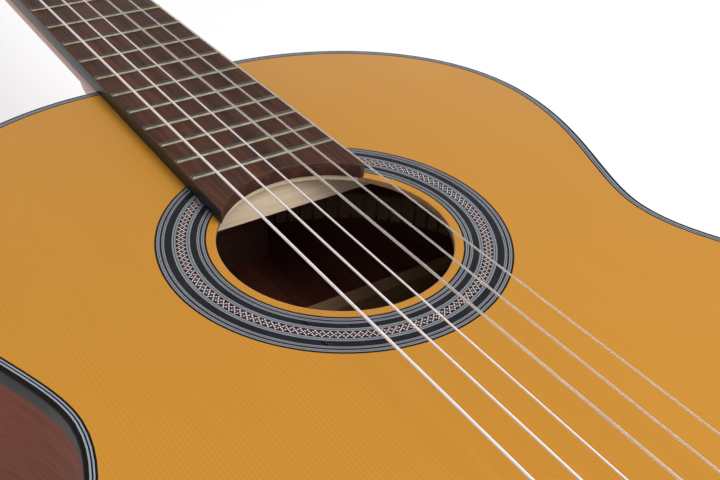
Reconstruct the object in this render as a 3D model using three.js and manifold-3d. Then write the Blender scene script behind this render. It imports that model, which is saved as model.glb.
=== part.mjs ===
// Classical guitar, lying on its back: +Z out of the soundboard, +Y towards the head, -X the bass side.
// Millimetres. The origin is under the middle of the whole instrument, on the plane that the back rests on.
import * as THREE from "three";
import { mergeVertices } from "three/addons/utils/BufferGeometryUtils.js";
import Module from "manifold-3d";

const wasm = await Module();
wasm.setup();

// Driving dimensions. The body's places are distances from its neck end, or from the saddle, which is at y = 0.
const scaleLength = 650;
const bodyJointFret = 12;
const fretCount = 18;
const bodyDepth = 97;
const bodyBelowSaddle = 162;
const neckFlatHalf = 32;
const upperBoutHalf = 142;
const upperBoutFromNeck = 92.4;
const waistHalf = 117.8;
const waistFromNeck = 189.4;
const lowerBoutHalf = 184;
const lowerBoutBehindSaddle = 32;
const topThickness = 2.5;
const backThickness = 2.7;
const ribThickness = 2;
const bindingWidth = 2;
const bindingHeight = 6;
const liningWidth = 5;
const topLiningHeight = 15;
const backLiningHeight = 13;
const holeRadius = 43.5;
const holeFromNeck = 147.3;
const rosetteMargin = 3.4;
const rosetteWidth = 18.6;
const rosetteDepth = 1.2;
const glueGap = 0.3;
const slidingGap = 0.1;
const neckBlockWidth = 78;
const neckBlockLength = 30;
const tailBlockWidth = 72;
const tailBlockLength = 16;
const tenonWidth = 26;
const tenonLength = 18;
const tenonHeight = 68;
const barWidth = 7;
const barHeight = 14.5;
const upperBarOffset = 5.3;
const lowerBarOffset = 12.7;
const strutWidth = 5;
const strutHeight = 4.5;
const strutCount = 7;
const strutSpacing = 33;
const backBraceWidth = 8;
const backBraceHeight = 14;
const backBraceFromNeck = [93, 235, 383];
const backStripWidth = 18;
const backStripHeight = 3;

const nutWidth = 52;
const boardWidthAtJoint = 61.6;
const boardOverHole = 1.3;
const boardThickness = 6;
const fretCrownWidth = 2.4;
const fretCrownHeight = 1.1;
const fretTangWidth = 0.6;
const fretTangDepth = 2;
const fretSlotWidth = 0.8;
const fretSlotDepth = 2.6;
const nutThickness = 5;
const nutAboveBoard = 2.6;
const stringLiftAtNut = 1.8;
const actionAtJoint = 3.4;
const shaftDepthAtNut = 15.5;
const shaftDepthAtHeel = 18.5;
const heelReach = 72;
const heelFootReach = 19;
const heelFootHalf = 13;

const bridgeLength = 188;
const bridgeWidth = 29;
const bridgeWingHeight = 3.4;
const bridgeCentreLength = 84;
const bridgeCentreHeight = 9;
const saddleThickness = 2.6;
const saddleLength = 80;
const saddleSlotDepth = 4;
const saddleWall = 2.2;
const saddleBend = 0.38;
const saddleFront = 6.5;
const tieBlockWidth = 12;
const tieHoleHeight = 5;
const tieHoleRadius = 1.1;
const saddleCrownBack = 0.65;
const saddleBackDrop = 1.9;
const stringSpreadAtSaddle = 58;
const stringSpreadAtNut = 43;
const stringRadii = [0.54, 0.45, 0.37, 0.51, 0.41, 0.36];

const headTilt = THREE.MathUtils.degToRad(14);
const headThickness = 20;
const crestLength = 47;
const headHalfAtSlots = 37;
const headHalfAtTip = 34;
const slotWidth = 15.5;
const slotBeforeRollers = 21;
const slotAfterRollers = 23;
const headWebWidth = 15;
const firstRollerAt = 50;
const rollerSpacing = 35;
const rollerRadius = 5;
const rollerDepthInWeb = 5.5;
const plateThickness = 1.2;
const plateHeight = 17;
const plateEndMargin = 15;
const gearTeeth = 14;
const gearPitchRadius = 5.5;
const gearThickness = 3.4;
const gearAxleRadius = 2.5;
const wormPitchRadius = 3;
const toothHeight = 0.75;
const toothClearance = 0.34;
const wormLength = 8.6;
const wormOffset = 4.4;
const wormShaftRadius = 1.5;
const postThickness = 1.6;
const postWidth = 7;
const runningGap = 0.08;
const buttonHeight = 15;
const buttonWidth = 19;
const buttonThickness = 10;
const buttonStemLength = 6;

// Places worked out from the driving dimensions.
const jointY = fretY(bodyJointFret);
const upperBoutY = jointY - upperBoutFromNeck;
const waistY = jointY - waistFromNeck;
const lowerBoutY = -lowerBoutBehindSaddle;
const holeY = jointY - holeFromNeck;
const rosetteInner = holeRadius + rosetteMargin;
const boardEndRadius = holeRadius - boardOverHole;
const rosetteOuter = rosetteInner + rosetteWidth;
const stringRestAtNut = boardThickness + stringLiftAtNut;
const stringRestAtJoint = boardThickness + fretCrownHeight + actionAtJoint;
const stringRestAtSaddle = 2 * stringRestAtJoint - stringRestAtNut;
const slotStart = firstRollerAt - slotBeforeRollers;
const slotEnd = firstRollerAt + 2 * rollerSpacing + slotAfterRollers;
const headLength = slotEnd + crestLength;
const topZ = bodyDepth;
const topUnderZ = bodyDepth - topThickness;
const boardTopZ = topZ + boardThickness;
const nutFrontY = scaleLength;
const nutBackY = nutFrontY + nutThickness;
const headTipY = nutBackY + headLength * Math.cos(headTilt);
const lengthCentreY = (headTipY - bodyBelowSaddle) / 2;
const webHalf = headWebWidth / 2;
const slotMidX = webHalf + slotWidth / 2;
const rollerZ = -headThickness / 2;
const wormPitch = (2 * Math.PI * gearPitchRadius) / gearTeeth;
const meshDistance = gearPitchRadius + wormPitchRadius;

const colours = {
  spruce: [0xcf9440, 0.25, 0],
  rosette: [0x3a3634, 0.3, 0],
  cedar: [0xc79a6b, 0.7, 0],
  rosewood: [0x6e3c30, 0.25, 0],
  ebony: [0x17171a, 0.2, 0],
  mahogany: [0x8a4f3c, 0.35, 0],
  fingerboard: [0x4a2d26, 0.5, 0],
  bone: [0xf1ead8, 0.4, 0],
  frets: [0xb9b09a, 0.3, 1],
  wound: [0xd8d0c8, 0.35, 1],
  nylon: [0xe8e4dc, 0.2, 0],
  brass: [0xc6a24a, 0.3, 1],
  pearl: [0xefe9dc, 0.25, 0],
};

const guitar = new THREE.Group();
guitar.position.y = -lengthCentreY;
const head = new THREE.Group();
head.position.set(0, nutBackY, topZ);
head.rotation.x = -headTilt;
guitar.add(head);

// ---- small helpers -------------------------------------------------------------------------------------------

function fretY(number) {
  return scaleLength * 2 ** (-number / 12);
}

// Half the fingerboard's width at a distance y from the saddle.
function boardHalf(y) {
  const share = (y - jointY) / (scaleLength - jointY);
  return THREE.MathUtils.lerp(boardWidthAtJoint, nutWidth, share) / 2;
}

function solid(geometry) {
  const bare = geometry.index ? geometry.toNonIndexed() : geometry.clone();
  bare.deleteAttribute("normal");
  bare.deleteAttribute("uv");
  const merged = mergeVertices(bare, 1e-4);
  return new wasm.Manifold(
    new wasm.Mesh({
      numProp: 3,
      vertProperties: new Float32Array(merged.attributes.position.array),
      triVerts: new Uint32Array(merged.index.array),
    }),
  );
}

function geometryOf(shape) {
  const mesh = shape.getMesh();
  const geometry = new THREE.BufferGeometry();
  geometry.setAttribute("position", new THREE.BufferAttribute(mesh.vertProperties, 3));
  geometry.setIndex(new THREE.BufferAttribute(mesh.triVerts, 1));
  return geometry;
}

function place(name, shape, look, group = guitar) {
  const geometry = shape.isBufferGeometry ? shape : geometryOf(shape);
  const [color, roughness, metalness] = colours[look];
  const mesh = new THREE.Mesh(geometry, new THREE.MeshStandardMaterial({ color, roughness, metalness }));
  mesh.name = name;
  group.add(mesh);
}

function union(shapes) {
  return shapes.reduce((sum, shape) => sum.add(shape));
}

function cut(shape, tools) {
  return tools.reduce((left, tool) => left.subtract(tool), shape);
}

// A box between two corners.
function block(x0, y0, z0, x1, y1, z1) {
  const geometry = new THREE.BoxGeometry(x1 - x0, y1 - y0, z1 - z0);
  geometry.translate((x0 + x1) / 2, (y0 + y1) / 2, (z0 + z1) / 2);
  return solid(geometry);
}

// A plate with an outline in the XY plane, from z0 up to z1.
function slab(points, z0, z1, holes = [], steps = 1) {
  const shape = new THREE.Shape(THREE.ShapeUtils.isClockWise(points) ? [...points].reverse() : points);
  shape.holes = holes.map((hole) => new THREE.Path(hole));
  const geometry = new THREE.ExtrudeGeometry(shape, { depth: z1 - z0, bevelEnabled: false, steps });
  return geometry.translate(0, 0, z0);
}

// A bar along X with its section in the YZ plane.
function barAlongX(section, x0, x1) {
  const shape = new THREE.Shape(section.map(([y, z]) => new THREE.Vector2(y, z)));
  const geometry = new THREE.ExtrudeGeometry(shape, { depth: x1 - x0, bevelEnabled: false });
  geometry.applyMatrix4(new THREE.Matrix4().set(0, 0, 1, x0, 1, 0, 0, 0, 0, 1, 0, 0, 0, 0, 0, 1));
  return geometry;
}

// A round bar between two points along X, with its corners on the radius.
function pinAlongX(x0, x1, y, z, radius, sides = 16) {
  const geometry = new THREE.CylinderGeometry(radius, radius, x1 - x0, sides);
  geometry.rotateZ(Math.PI / 2);
  return solid(geometry.translate((x0 + x1) / 2, y, z));
}

// The same along Z.
function pinAlongZ(z0, z1, x, y, radius, sides = 12) {
  const geometry = new THREE.CylinderGeometry(radius, radius, z1 - z0, sides);
  geometry.rotateX(Math.PI / 2);
  return solid(geometry.translate(x, y, (z0 + z1) / 2));
}

// The radius that keeps a hole's flats clear of a faceted shaft.
function holeFor(radius, sides, gap = runningGap) {
  return (radius + gap) / Math.cos(Math.PI / sides);
}

function circle(radius, x, y, count) {
  return Array.from({ length: count }, (_, i) => {
    const angle = (2 * Math.PI * i) / count;
    return new THREE.Vector2(x + radius * Math.cos(angle), y + radius * Math.sin(angle));
  });
}

function warp(geometry, change) {
  const position = geometry.attributes.position;
  const point = new THREE.Vector3();
  for (let i = 0; i < position.count; i++) {
    point.fromBufferAttribute(position, i);
    change(point);
    position.setXYZ(i, point.x, point.y, point.z);
  }
  return geometry;
}

// ---- body outline --------------------------------------------------------------------------------------------

// The treble half, from the middle of the neck joint round to the tail.
function halfOutline() {
  const v = (x, y) => new THREE.Vector2(x, y);
  const path = new THREE.CurvePath();
  path.add(new THREE.LineCurve(v(0, jointY), v(neckFlatHalf, jointY)));
  path.add(
    new THREE.CubicBezierCurve(
      v(neckFlatHalf, jointY),
      v(neckFlatHalf + 53, jointY),
      v(upperBoutHalf, upperBoutY + 58),
      v(upperBoutHalf, upperBoutY),
    ),
  );
  path.add(
    new THREE.CubicBezierCurve(
      v(upperBoutHalf, upperBoutY),
      v(upperBoutHalf, upperBoutY - 42),
      v(waistHalf, waistY + 23),
      v(waistHalf, waistY),
    ),
  );
  path.add(
    new THREE.CubicBezierCurve(
      v(waistHalf, waistY),
      v(waistHalf, waistY - 44),
      v(lowerBoutHalf, lowerBoutY + 85),
      v(lowerBoutHalf, lowerBoutY),
    ),
  );
  path.add(
    new THREE.CubicBezierCurve(
      v(lowerBoutHalf, lowerBoutY),
      v(lowerBoutHalf, lowerBoutY - 76),
      v(98, -bodyBelowSaddle),
      v(0, -bodyBelowSaddle),
    ),
  );
  return path;
}

// Points of the treble half, moved inwards by an inset.
function halfPoints(inset) {
  const curves = halfOutline().curves;
  const counts = [1, 13, 9, 13, 15];
  const points = [];
  curves.forEach((curve, i) => {
    for (let k = i === 0 ? 0 : 1; k <= counts[i]; k++) {
      const u = k / counts[i];
      const point = curve.getPointAt(u);
      const along = curve.getTangentAt(u);
      points.push(new THREE.Vector2(point.x + along.y * inset, point.y - along.x * inset));
    }
  });
  return points;
}

function mirrored(points) {
  return points.map((p) => new THREE.Vector2(-p.x, p.y)).reverse();
}

function bodyOutline(inset) {
  const half = halfPoints(inset).slice(1);
  return [...half, ...mirrored(half).slice(1)];
}

// A strip that follows one half of the body, between two insets.
function sideStrip(side, outer, inner, z0, z1) {
  const points = [...halfPoints(outer), ...halfPoints(inner).reverse()];
  return slab(side < 0 ? mirrored(points) : points, z0, z1);
}

// Cuts both ends of a side strip back from the middle of the body.
function trimmedStrip(side, outer, inner, z0, z1, neckHalf, tailHalf) {
  const strip = solid(sideStrip(side, outer, inner, z0, z1));
  const tools = [];
  if (neckHalf) tools.push(block(-neckHalf, jointY - 60, z0 - 1, neckHalf, jointY + 1, z1 + 1));
  if (tailHalf)
    tools.push(block(-tailHalf, -bodyBelowSaddle - 1, z0 - 1, tailHalf, -bodyBelowSaddle + 60, z1 + 1));
  return cut(strip, tools);
}

// ---- body ----------------------------------------------------------------------------------------------------

const topOutlineInset = bindingWidth;
const liningInset = ribThickness;
const insideInset = ribThickness + liningWidth;

function insideOf(z0, z1, inset) {
  return solid(slab(bodyOutline(inset), z0, z1));
}

function addBody() {
  const plate = slab(bodyOutline(topOutlineInset), topUnderZ, topZ, [circle(holeRadius, 0, holeY, 48)]);
  const channel = slab(
    circle(rosetteOuter + slidingGap, 0, holeY, 48),
    topZ - rosetteDepth,
    topZ + 1,
    [circle(rosetteInner - slidingGap, 0, holeY, 48)],
  );
  place("soundboard", solid(plate).subtract(solid(channel)), "spruce");
  const ring = slab(circle(rosetteOuter, 0, holeY, 48), topZ - rosetteDepth, topZ, [
    circle(rosetteInner, 0, holeY, 48),
  ]);
  place("rosette", ring, "rosette");
  place("back", slab(bodyOutline(bindingWidth), 0, backThickness), "rosewood");
  const outer = bodyOutline(0);
  const inner = bodyOutline(bindingWidth);
  place("top_binding", slab(outer, topZ - bindingHeight, topZ, [inner]), "ebony");
  place("back_binding", slab(outer, 0, bindingHeight, [inner]), "ebony");
  for (const [side, name] of [[-1, "bass"], [1, "treble"]]) {
    const half = tenonWidth / 2 + glueGap;
    const rib = trimmedStrip(side, 0, ribThickness, bindingHeight, topZ - bindingHeight, half, glueGap / 2);
    place("rib_" + name, rib, "rosewood");
    addLining("top_lining_" + name, side, topUnderZ - topLiningHeight, topUnderZ);
    addLining("back_lining_" + name, side, backThickness, backThickness + backLiningHeight);
  }
}

function addLining(name, side, z0, z1) {
  const atNeck = neckBlockWidth / 2 + glueGap;
  const atTail = tailBlockWidth / 2 + glueGap;
  place(name, trimmedStrip(side, liningInset, insideInset, z0, z1, atNeck, atTail), "cedar");
}

function addBlocks() {
  const wallY = jointY - ribThickness;
  const inside = insideOf(backThickness, topUnderZ, ribThickness + slidingGap);
  const half = neckBlockWidth / 2;
  const body = block(-half, wallY - neckBlockLength, backThickness, half, wallY + 5, topUnderZ).intersect(inside);
  const mortise = block(
    -tenonWidth / 2 - glueGap,
    wallY - tenonLength - glueGap,
    topUnderZ - tenonHeight - glueGap,
    tenonWidth / 2 + glueGap,
    wallY + 6,
    topUnderZ + 1,
  );
  place("neck_block", body.subtract(mortise), "cedar");
  const tailHalf = tailBlockWidth / 2;
  const tailY = -bodyBelowSaddle + ribThickness;
  const tail = block(-tailHalf, tailY - 5, backThickness, tailHalf, tailY + tailBlockLength, topUnderZ);
  place("tail_block", tail.intersect(inside), "cedar");
}

// A bar across the body under the soundboard or over the back, its ends lowered where they meet the linings.
function crossBar(y, width, height, rootZ, direction) {
  const halfSpan = lowerBoutHalf;
  const section = [
    [y - width / 2, rootZ],
    [y - width / 2, rootZ + direction * height * 0.72],
    [y, rootZ + direction * height],
    [y + width / 2, rootZ + direction * height * 0.72],
    [y + width / 2, rootZ],
  ];
  const ordered = direction > 0 ? section.reverse() : section;
  return solid(barAlongX(ordered, -halfSpan, halfSpan));
}

function addBracing() {
  const inside = insideOf(backThickness, topUnderZ, insideInset + glueGap);
  const upperY = holeY + holeRadius + upperBarOffset + barWidth / 2 - 3;
  place("upper_harmonic_bar", squareBar(upperY).intersect(inside), "cedar");
  const lowerY = holeY - holeRadius - lowerBarOffset;
  place("lower_harmonic_bar", squareBar(lowerY).intersect(inside), "cedar");
  addFan(inside, lowerY - barWidth / 2 - glueGap);
  const strip = block(
    -backStripWidth / 2,
    -bodyBelowSaddle + ribThickness + tailBlockLength + glueGap,
    backThickness,
    backStripWidth / 2,
    jointY - ribThickness - neckBlockLength - glueGap,
    backThickness + backStripHeight,
  );
  const braces = backBraceFromNeck.map((gap) => crossBar(jointY - gap, backBraceWidth, backBraceHeight, backThickness, 1));
  place("back_bracing", union([strip, ...braces.map((brace) => brace.intersect(inside))]), "cedar");
}

function squareBar(y) {
  const half = barWidth / 2;
  const span = lowerBoutHalf;
  return block(-span, y - half, topUnderZ - barHeight, span, y + half, topUnderZ);
}

// Seven struts that fan out below the sound hole, joined by the patch under the bridge.
function addFan(inside, highY) {
  const apexY = jointY + 120;
  const lowY = -bodyBelowSaddle + 45;
  const patch = block(-lowerBoutHalf, -bridgeWidth / 2 - 8, topUnderZ - 2.2, lowerBoutHalf, 14, topUnderZ);
  const struts = [];
  for (let i = 0; i < strutCount; i++) {
    const offset = (i - (strutCount - 1) / 2) * strutSpacing;
    const angle = Math.atan2(offset, apexY);
    const geometry = new THREE.BoxGeometry(strutWidth, highY - lowY, strutHeight);
    geometry.translate(0, (highY + lowY) / 2 - apexY, topUnderZ - strutHeight / 2);
    geometry.rotateZ(angle);
    struts.push(solid(geometry.translate(0, apexY, 0)));
  }
  const keep = block(-lowerBoutHalf, lowY - 20, 0, lowerBoutHalf, highY, topUnderZ);
  place("fan_bracing", union([patch, ...struts]).intersect(inside).intersect(keep), "cedar");
}

// ---- bridge and saddle ---------------------------------------------------------------------------------------

function stringXAtSaddle(index) {
  return stringSpreadAtSaddle * (index / 5 - 0.5);
}

function stringXAtNut(index) {
  return stringSpreadAtNut * (index / 5 - 0.5);
}

const bridgeFrontY = saddleFront;
const bridgeBackY = bridgeFrontY - bridgeWidth;
const tieFrontY = bridgeBackY + tieBlockWidth;

function addBridge() {
  const frontHigh = bridgeFrontY - 1.5;
  const wings = barAlongX(
    [
      [bridgeBackY, topZ],
      [bridgeFrontY, topZ],
      [bridgeFrontY, topZ + bridgeWingHeight - 1],
      [bridgeFrontY - 3, topZ + bridgeWingHeight],
      [bridgeBackY + 3, topZ + bridgeWingHeight],
      [bridgeBackY, topZ + bridgeWingHeight - 1],
    ],
    -bridgeLength / 2,
    bridgeLength / 2,
  );
  const centre = barAlongX(
    [
      [bridgeBackY, topZ],
      [bridgeFrontY, topZ],
      [bridgeFrontY, topZ + bridgeWingHeight],
      [frontHigh, topZ + bridgeCentreHeight - 1],
      [frontHigh - 1, topZ + bridgeCentreHeight],
      [-saddleThickness / 2 - saddleWall, topZ + bridgeCentreHeight],
      [-saddleThickness / 2 - saddleWall - 1.5, topZ + bridgeWingHeight + 1.2],
      [tieFrontY, topZ + bridgeWingHeight],
      [tieFrontY, topZ + bridgeCentreHeight],
      [bridgeBackY, topZ + bridgeCentreHeight],
    ],
    -bridgeCentreLength / 2,
    bridgeCentreLength / 2,
  );
  const slotHalf = saddleThickness / 2 + slidingGap;
  const slot = block(
    -saddleLength / 2 - slidingGap,
    -slotHalf,
    topZ + bridgeCentreHeight - saddleSlotDepth,
    saddleLength / 2 + slidingGap,
    slotHalf,
    topZ + bridgeCentreHeight + 1,
  );
  const holes = stringRadii.map((radius, i) => {
    const geometry = new THREE.CylinderGeometry(tieHoleRadius, tieHoleRadius, tieBlockWidth + 4, 8);
    return solid(geometry.translate(stringXAtSaddle(i), bridgeBackY + tieBlockWidth / 2, topZ + tieHoleHeight));
  });
  place("bridge", cut(union([solid(wings), solid(centre)]), [slot, ...holes]), "fingerboard");
  const restZ = topZ + bridgeCentreHeight - saddleSlotDepth;
  const crownZ = topZ + stringRestAtSaddle;
  const half = saddleThickness / 2;
  const saddle = barAlongX(
    [
      [-half, restZ],
      [half, restZ],
      [half, crownZ - 0.4],
      [saddleCrownBack + 0.3, crownZ],
      [saddleCrownBack, crownZ],
      [-half, crownZ - saddleBackDrop],
    ],
    -saddleLength / 2,
    saddleLength / 2,
  );
  place("saddle", saddle, "bone");
}

// ---- neck, fingerboard, frets and nut ------------------------------------------------------------------------

// Rounded section of the neck's shaft, from one edge of the fingerboard round the back to the other.
function shaftSection() {
  const points = [];
  const steps = 10;
  for (let i = 0; i <= steps; i++) {
    const angle = Math.PI + (Math.PI * i) / steps;
    const flat = Math.sign(Math.cos(angle)) * Math.abs(Math.cos(angle)) ** 0.72;
    points.push(new THREE.Vector2(flat, Math.sin(angle)));
  }
  return points;
}

// The shaft: the unit section stretched to the fingerboard's width and the neck's depth at each step.
function shaft() {
  const from = jointY;
  const to = nutBackY + 3;
  const shape = new THREE.Shape(shaftSection());
  const geometry = new THREE.ExtrudeGeometry(shape, { depth: 1, bevelEnabled: false, steps: 8 });
  return solid(
    warp(geometry, (p) => {
      const y = THREE.MathUtils.lerp(to, from, p.z);
      const share = (y - from) / (to - from);
      const depth = THREE.MathUtils.lerp(shaftDepthAtHeel, shaftDepthAtNut, share);
      const width = boardHalf(Math.min(y, nutBackY));
      p.set(p.x * width, y, topZ + p.y * depth);
    }),
  );
}

// The heel: a U in plan that narrows and shortens from under the shaft down to its foot.
function heel() {
  const points = [new THREE.Vector2(-1, 0)];
  const steps = 10;
  for (let i = 0; i <= steps; i++) {
    const angle = Math.PI - (Math.PI * i) / steps;
    const x = Math.sign(Math.cos(angle)) * Math.abs(Math.cos(angle)) ** 0.8;
    points.push(new THREE.Vector2(x, 0.12 + 0.88 * Math.sin(angle)));
  }
  points.push(new THREE.Vector2(1, 0));
  const shape = new THREE.Shape(points.reverse());
  const geometry = new THREE.ExtrudeGeometry(shape, { depth: 1, bevelEnabled: false, steps: 8 });
  const topHalf = boardHalf(jointY);
  return solid(
    warp(geometry, (p) => {
      const drop = 1 - p.z;
      const width = heelFootHalf + (topHalf - heelFootHalf) * (1 - drop) ** 1.7;
      const reach = heelFootReach + (heelReach - heelFootReach) * (1 - drop) ** 2.6;
      p.set(p.x * width, jointY + p.y * reach, topZ * (1 - drop) - 0.3 * (1 - drop));
    }),
  );
}

// Half-outline of the head: straight cheeks that widen from the nut, and a low three-curved crest.
function headOutline() {
  const nutHalf = nutWidth / 2;
  const shape = new THREE.Shape();
  shape.moveTo(-nutHalf, -6);
  shape.lineTo(nutHalf, -6);
  shape.lineTo(nutHalf, 4);
  shape.quadraticCurveTo(nutHalf + 1, 12, headHalfAtSlots, 20);
  shape.lineTo(headHalfAtTip, headLength - 22);
  shape.quadraticCurveTo(headHalfAtTip - 3, headLength - 10, 20, headLength - 9);
  shape.quadraticCurveTo(12, headLength - 8, 0, headLength);
  shape.quadraticCurveTo(-12, headLength - 8, -20, headLength - 9);
  shape.quadraticCurveTo(3 - headHalfAtTip, headLength - 10, -headHalfAtTip, headLength - 22);
  shape.lineTo(-headHalfAtSlots, 20);
  shape.quadraticCurveTo(-nutHalf - 1, 12, -nutHalf, 4);
  return shape.getPoints(5);
}

function rollerY(index) {
  return firstRollerAt + rollerSpacing * index;
}

// A slot with round ends, in the head's own frame.
function slotTool(side) {
  const mid = side * slotMidX;
  const r = slotWidth / 2;
  const shape = new THREE.Shape();
  shape.absarc(mid, slotEnd - r, r, 0, Math.PI, false);
  shape.absarc(mid, slotStart + r, r, Math.PI, 2 * Math.PI, false);
  return solid(slab(shape.getPoints(8), -headThickness - 1, 1));
}

// Half the head's width at a distance along it, over the straight cheeks.
function cheekHalf(along) {
  const share = (along - 20) / (headLength - 42);
  return THREE.MathUtils.lerp(headHalfAtSlots, headHalfAtTip, share);
}

// The head's sides are planed parallel where the plates sit.
const plateSeatX = cheekHalf(rollerY(2) + plateEndMargin);

function headSolid() {
  const body = solid(slab(headOutline(), -headThickness, 0));
  const tools = [slotTool(-1), slotTool(1)];
  for (const side of [-1, 1]) {
    const seat = [
      side * plateSeatX,
      rollerY(0) - plateEndMargin - 1,
      rollerZ - plateHeight / 2 - 0.5,
      side * (headHalfAtSlots + 2),
      rollerY(2) + plateEndMargin + 1,
      rollerZ + plateHeight / 2 + 0.5,
    ];
    tools.push(
      block(Math.min(seat[0], seat[3]), seat[1], -headThickness - 1, Math.max(seat[0], seat[3]), seat[4], 1),
    );
    for (let i = 0; i < 3; i++) {
      const radius = holeFor(rollerRadius, 16, glueGap);
      const near = webHalf - rollerDepthInWeb - glueGap;
      const far = headHalfAtSlots + 5;
      const x0 = side > 0 ? near : -far;
      const x1 = side > 0 ? far : -near;
      tools.push(pinAlongX(x0, x1, rollerY(i), rollerZ, radius));
    }
  }
  return cut(body, tools);
}

function addNeck() {
  const turned = headSolid().rotate([-THREE.MathUtils.radToDeg(headTilt), 0, 0]).translate([0, nutBackY, topZ]);
  const trim = block(-60, jointY - 1, topZ, 60, nutBackY + 30, topZ + 40);
  const wallY = jointY - ribThickness;
  const tenon = block(
    -tenonWidth / 2,
    wallY - tenonLength,
    topUnderZ - tenonHeight,
    tenonWidth / 2,
    jointY + 5,
    topZ - bindingHeight - glueGap,
  );
  const neck = union([shaft(), heel(), tenon, turned]).subtract(trim);
  place("neck", neck, "mahogany");
}

// The fingerboard ends in an arc that stands a little over the hole. This is the angle of its corner.
function boardEndAngle() {
  let angle = Math.PI / 4;
  for (let round = 0; round < 12; round++)
    angle = Math.acos(boardHalf(holeY + boardEndRadius * Math.sin(angle)) / boardEndRadius);
  return angle;
}

function addFingerboard() {
  const corner = boardEndAngle();
  const steps = 16;
  const points = [new THREE.Vector2(-boardHalf(nutFrontY), nutFrontY)];
  for (let i = 0; i <= steps; i++) {
    const angle = THREE.MathUtils.lerp(Math.PI - corner, corner, i / steps);
    points.push(new THREE.Vector2(boardEndRadius * Math.cos(angle), holeY + boardEndRadius * Math.sin(angle)));
  }
  points.push(new THREE.Vector2(boardHalf(nutFrontY), nutFrontY));
  const board = solid(slab(points, topZ, boardTopZ));
  const slots = [];
  for (let i = 1; i <= fretCount; i++) {
    const y = fretY(i);
    slots.push(
      block(-60, y - fretSlotWidth / 2, boardTopZ - fretSlotDepth, 60, y + fretSlotWidth / 2, boardTopZ + 1),
    );
  }
  place("fingerboard", cut(board, slots), "fingerboard");
}

function addFrets() {
  for (let i = 1; i <= fretCount; i++) {
    const y = fretY(i);
    const c = fretCrownWidth / 2;
    const t = fretTangWidth / 2;
    const half = boardHalf(y) - 0.2;
    const section = [
      [y - t, boardTopZ - fretTangDepth],
      [y + t, boardTopZ - fretTangDepth],
      [y + t, boardTopZ],
      [y + c, boardTopZ],
      [y + c * 0.75, boardTopZ + fretCrownHeight * 0.7],
      [y, boardTopZ + fretCrownHeight],
      [y - c * 0.75, boardTopZ + fretCrownHeight * 0.7],
      [y - c, boardTopZ],
      [y - t, boardTopZ],
    ];
    place("fret_" + String(i).padStart(2, "0"), barAlongX(section, -half, half), "frets");
  }
}

function stringZ(index, y) {
  const rest = THREE.MathUtils.lerp(stringRestAtSaddle, stringRestAtNut, y / scaleLength);
  return topZ + rest + slidingGap + stringRadii[index];
}

function addNut() {
  const crownZ = boardTopZ + nutAboveBoard;
  const section = [
    [nutFrontY, topZ],
    [nutBackY, topZ],
    [nutBackY, crownZ - 1.2],
    [nutFrontY + 1, crownZ],
    [nutFrontY, crownZ],
  ];
  const half = boardHalf(nutFrontY);
  const body = solid(barAlongX(section, -half, half));
  const grooves = stringRadii.map((radius, i) => {
    const x = stringXAtNut(i);
    const wide = radius + slidingGap;
    const floor = topZ + stringRestAtNut;
    return block(x - wide, nutFrontY - 1, floor, x + wide, nutBackY + 1, crownZ + 1);
  });
  place("nut", cut(body, grooves), "bone");
}

// ---- strings -------------------------------------------------------------------------------------------------

// A string along its route: an eight-sided bar whose rings stand square to the bisector at each bend.
function stringAlong(route, radius) {
  const last = route.length - 1;
  const rings = route.map((at, k) => {
    const along = new THREE.Vector3().subVectors(route[Math.min(k + 1, last)], route[Math.max(k, 1) - 1]);
    if (k > 0 && k < last) {
      const before = new THREE.Vector3().subVectors(at, route[k - 1]).normalize();
      along.subVectors(route[k + 1], at).normalize().add(before);
    }
    along.normalize();
    const across = new THREE.Vector3(1, 0, 0).addScaledVector(along, -along.x).normalize();
    return { at, across, up: new THREE.Vector3().crossVectors(along, across) };
  });
  const section = new THREE.Shape(circle(radius, 0, 0, 8));
  const geometry = new THREE.ExtrudeGeometry(section, { depth: 1, bevelEnabled: false, steps: last });
  return warp(geometry, (p) => {
    const ring = rings[Math.round(p.z * last)];
    const { x, y } = p;
    p.copy(ring.at).addScaledVector(ring.across, x).addScaledVector(ring.up, y);
  });
}

// Where a string meets the top of its roller, in the guitar's frame.
function rollerContact(index) {
  const side = index < 3 ? -1 : 1;
  const order = index < 3 ? index : 5 - index;
  const local = new THREE.Vector3(
    side * slotMidX,
    rollerY(order),
    rollerZ + rollerRadius + stringRadii[index] + slidingGap,
  );
  local.applyAxisAngle(new THREE.Vector3(1, 0, 0), -headTilt);
  return local.add(new THREE.Vector3(0, nutBackY, topZ));
}

// Each string runs from behind the tie block, over the saddle and the nut, down to its roller.
function addStrings() {
  stringRadii.forEach((radius, i) => {
    const x = stringXAtSaddle(i);
    const route = [
      new THREE.Vector3(x, bridgeBackY - 2, topZ + tieHoleHeight),
      new THREE.Vector3(x, tieFrontY + 1, topZ + tieHoleHeight),
      new THREE.Vector3(x, saddleCrownBack - saddleBend * radius, stringZ(i, 0)),
      new THREE.Vector3(stringXAtNut(i), nutFrontY, stringZ(i, nutFrontY)),
      new THREE.Vector3(stringXAtNut(i), nutBackY + radius, stringZ(i, nutFrontY)),
      rollerContact(i),
    ];
    place("string_" + (6 - i), stringAlong(route, radius), i < 3 ? "wound" : "nylon");
  });
}

// ---- tuners, in the head's frame -----------------------------------------------------------------------------

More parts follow.
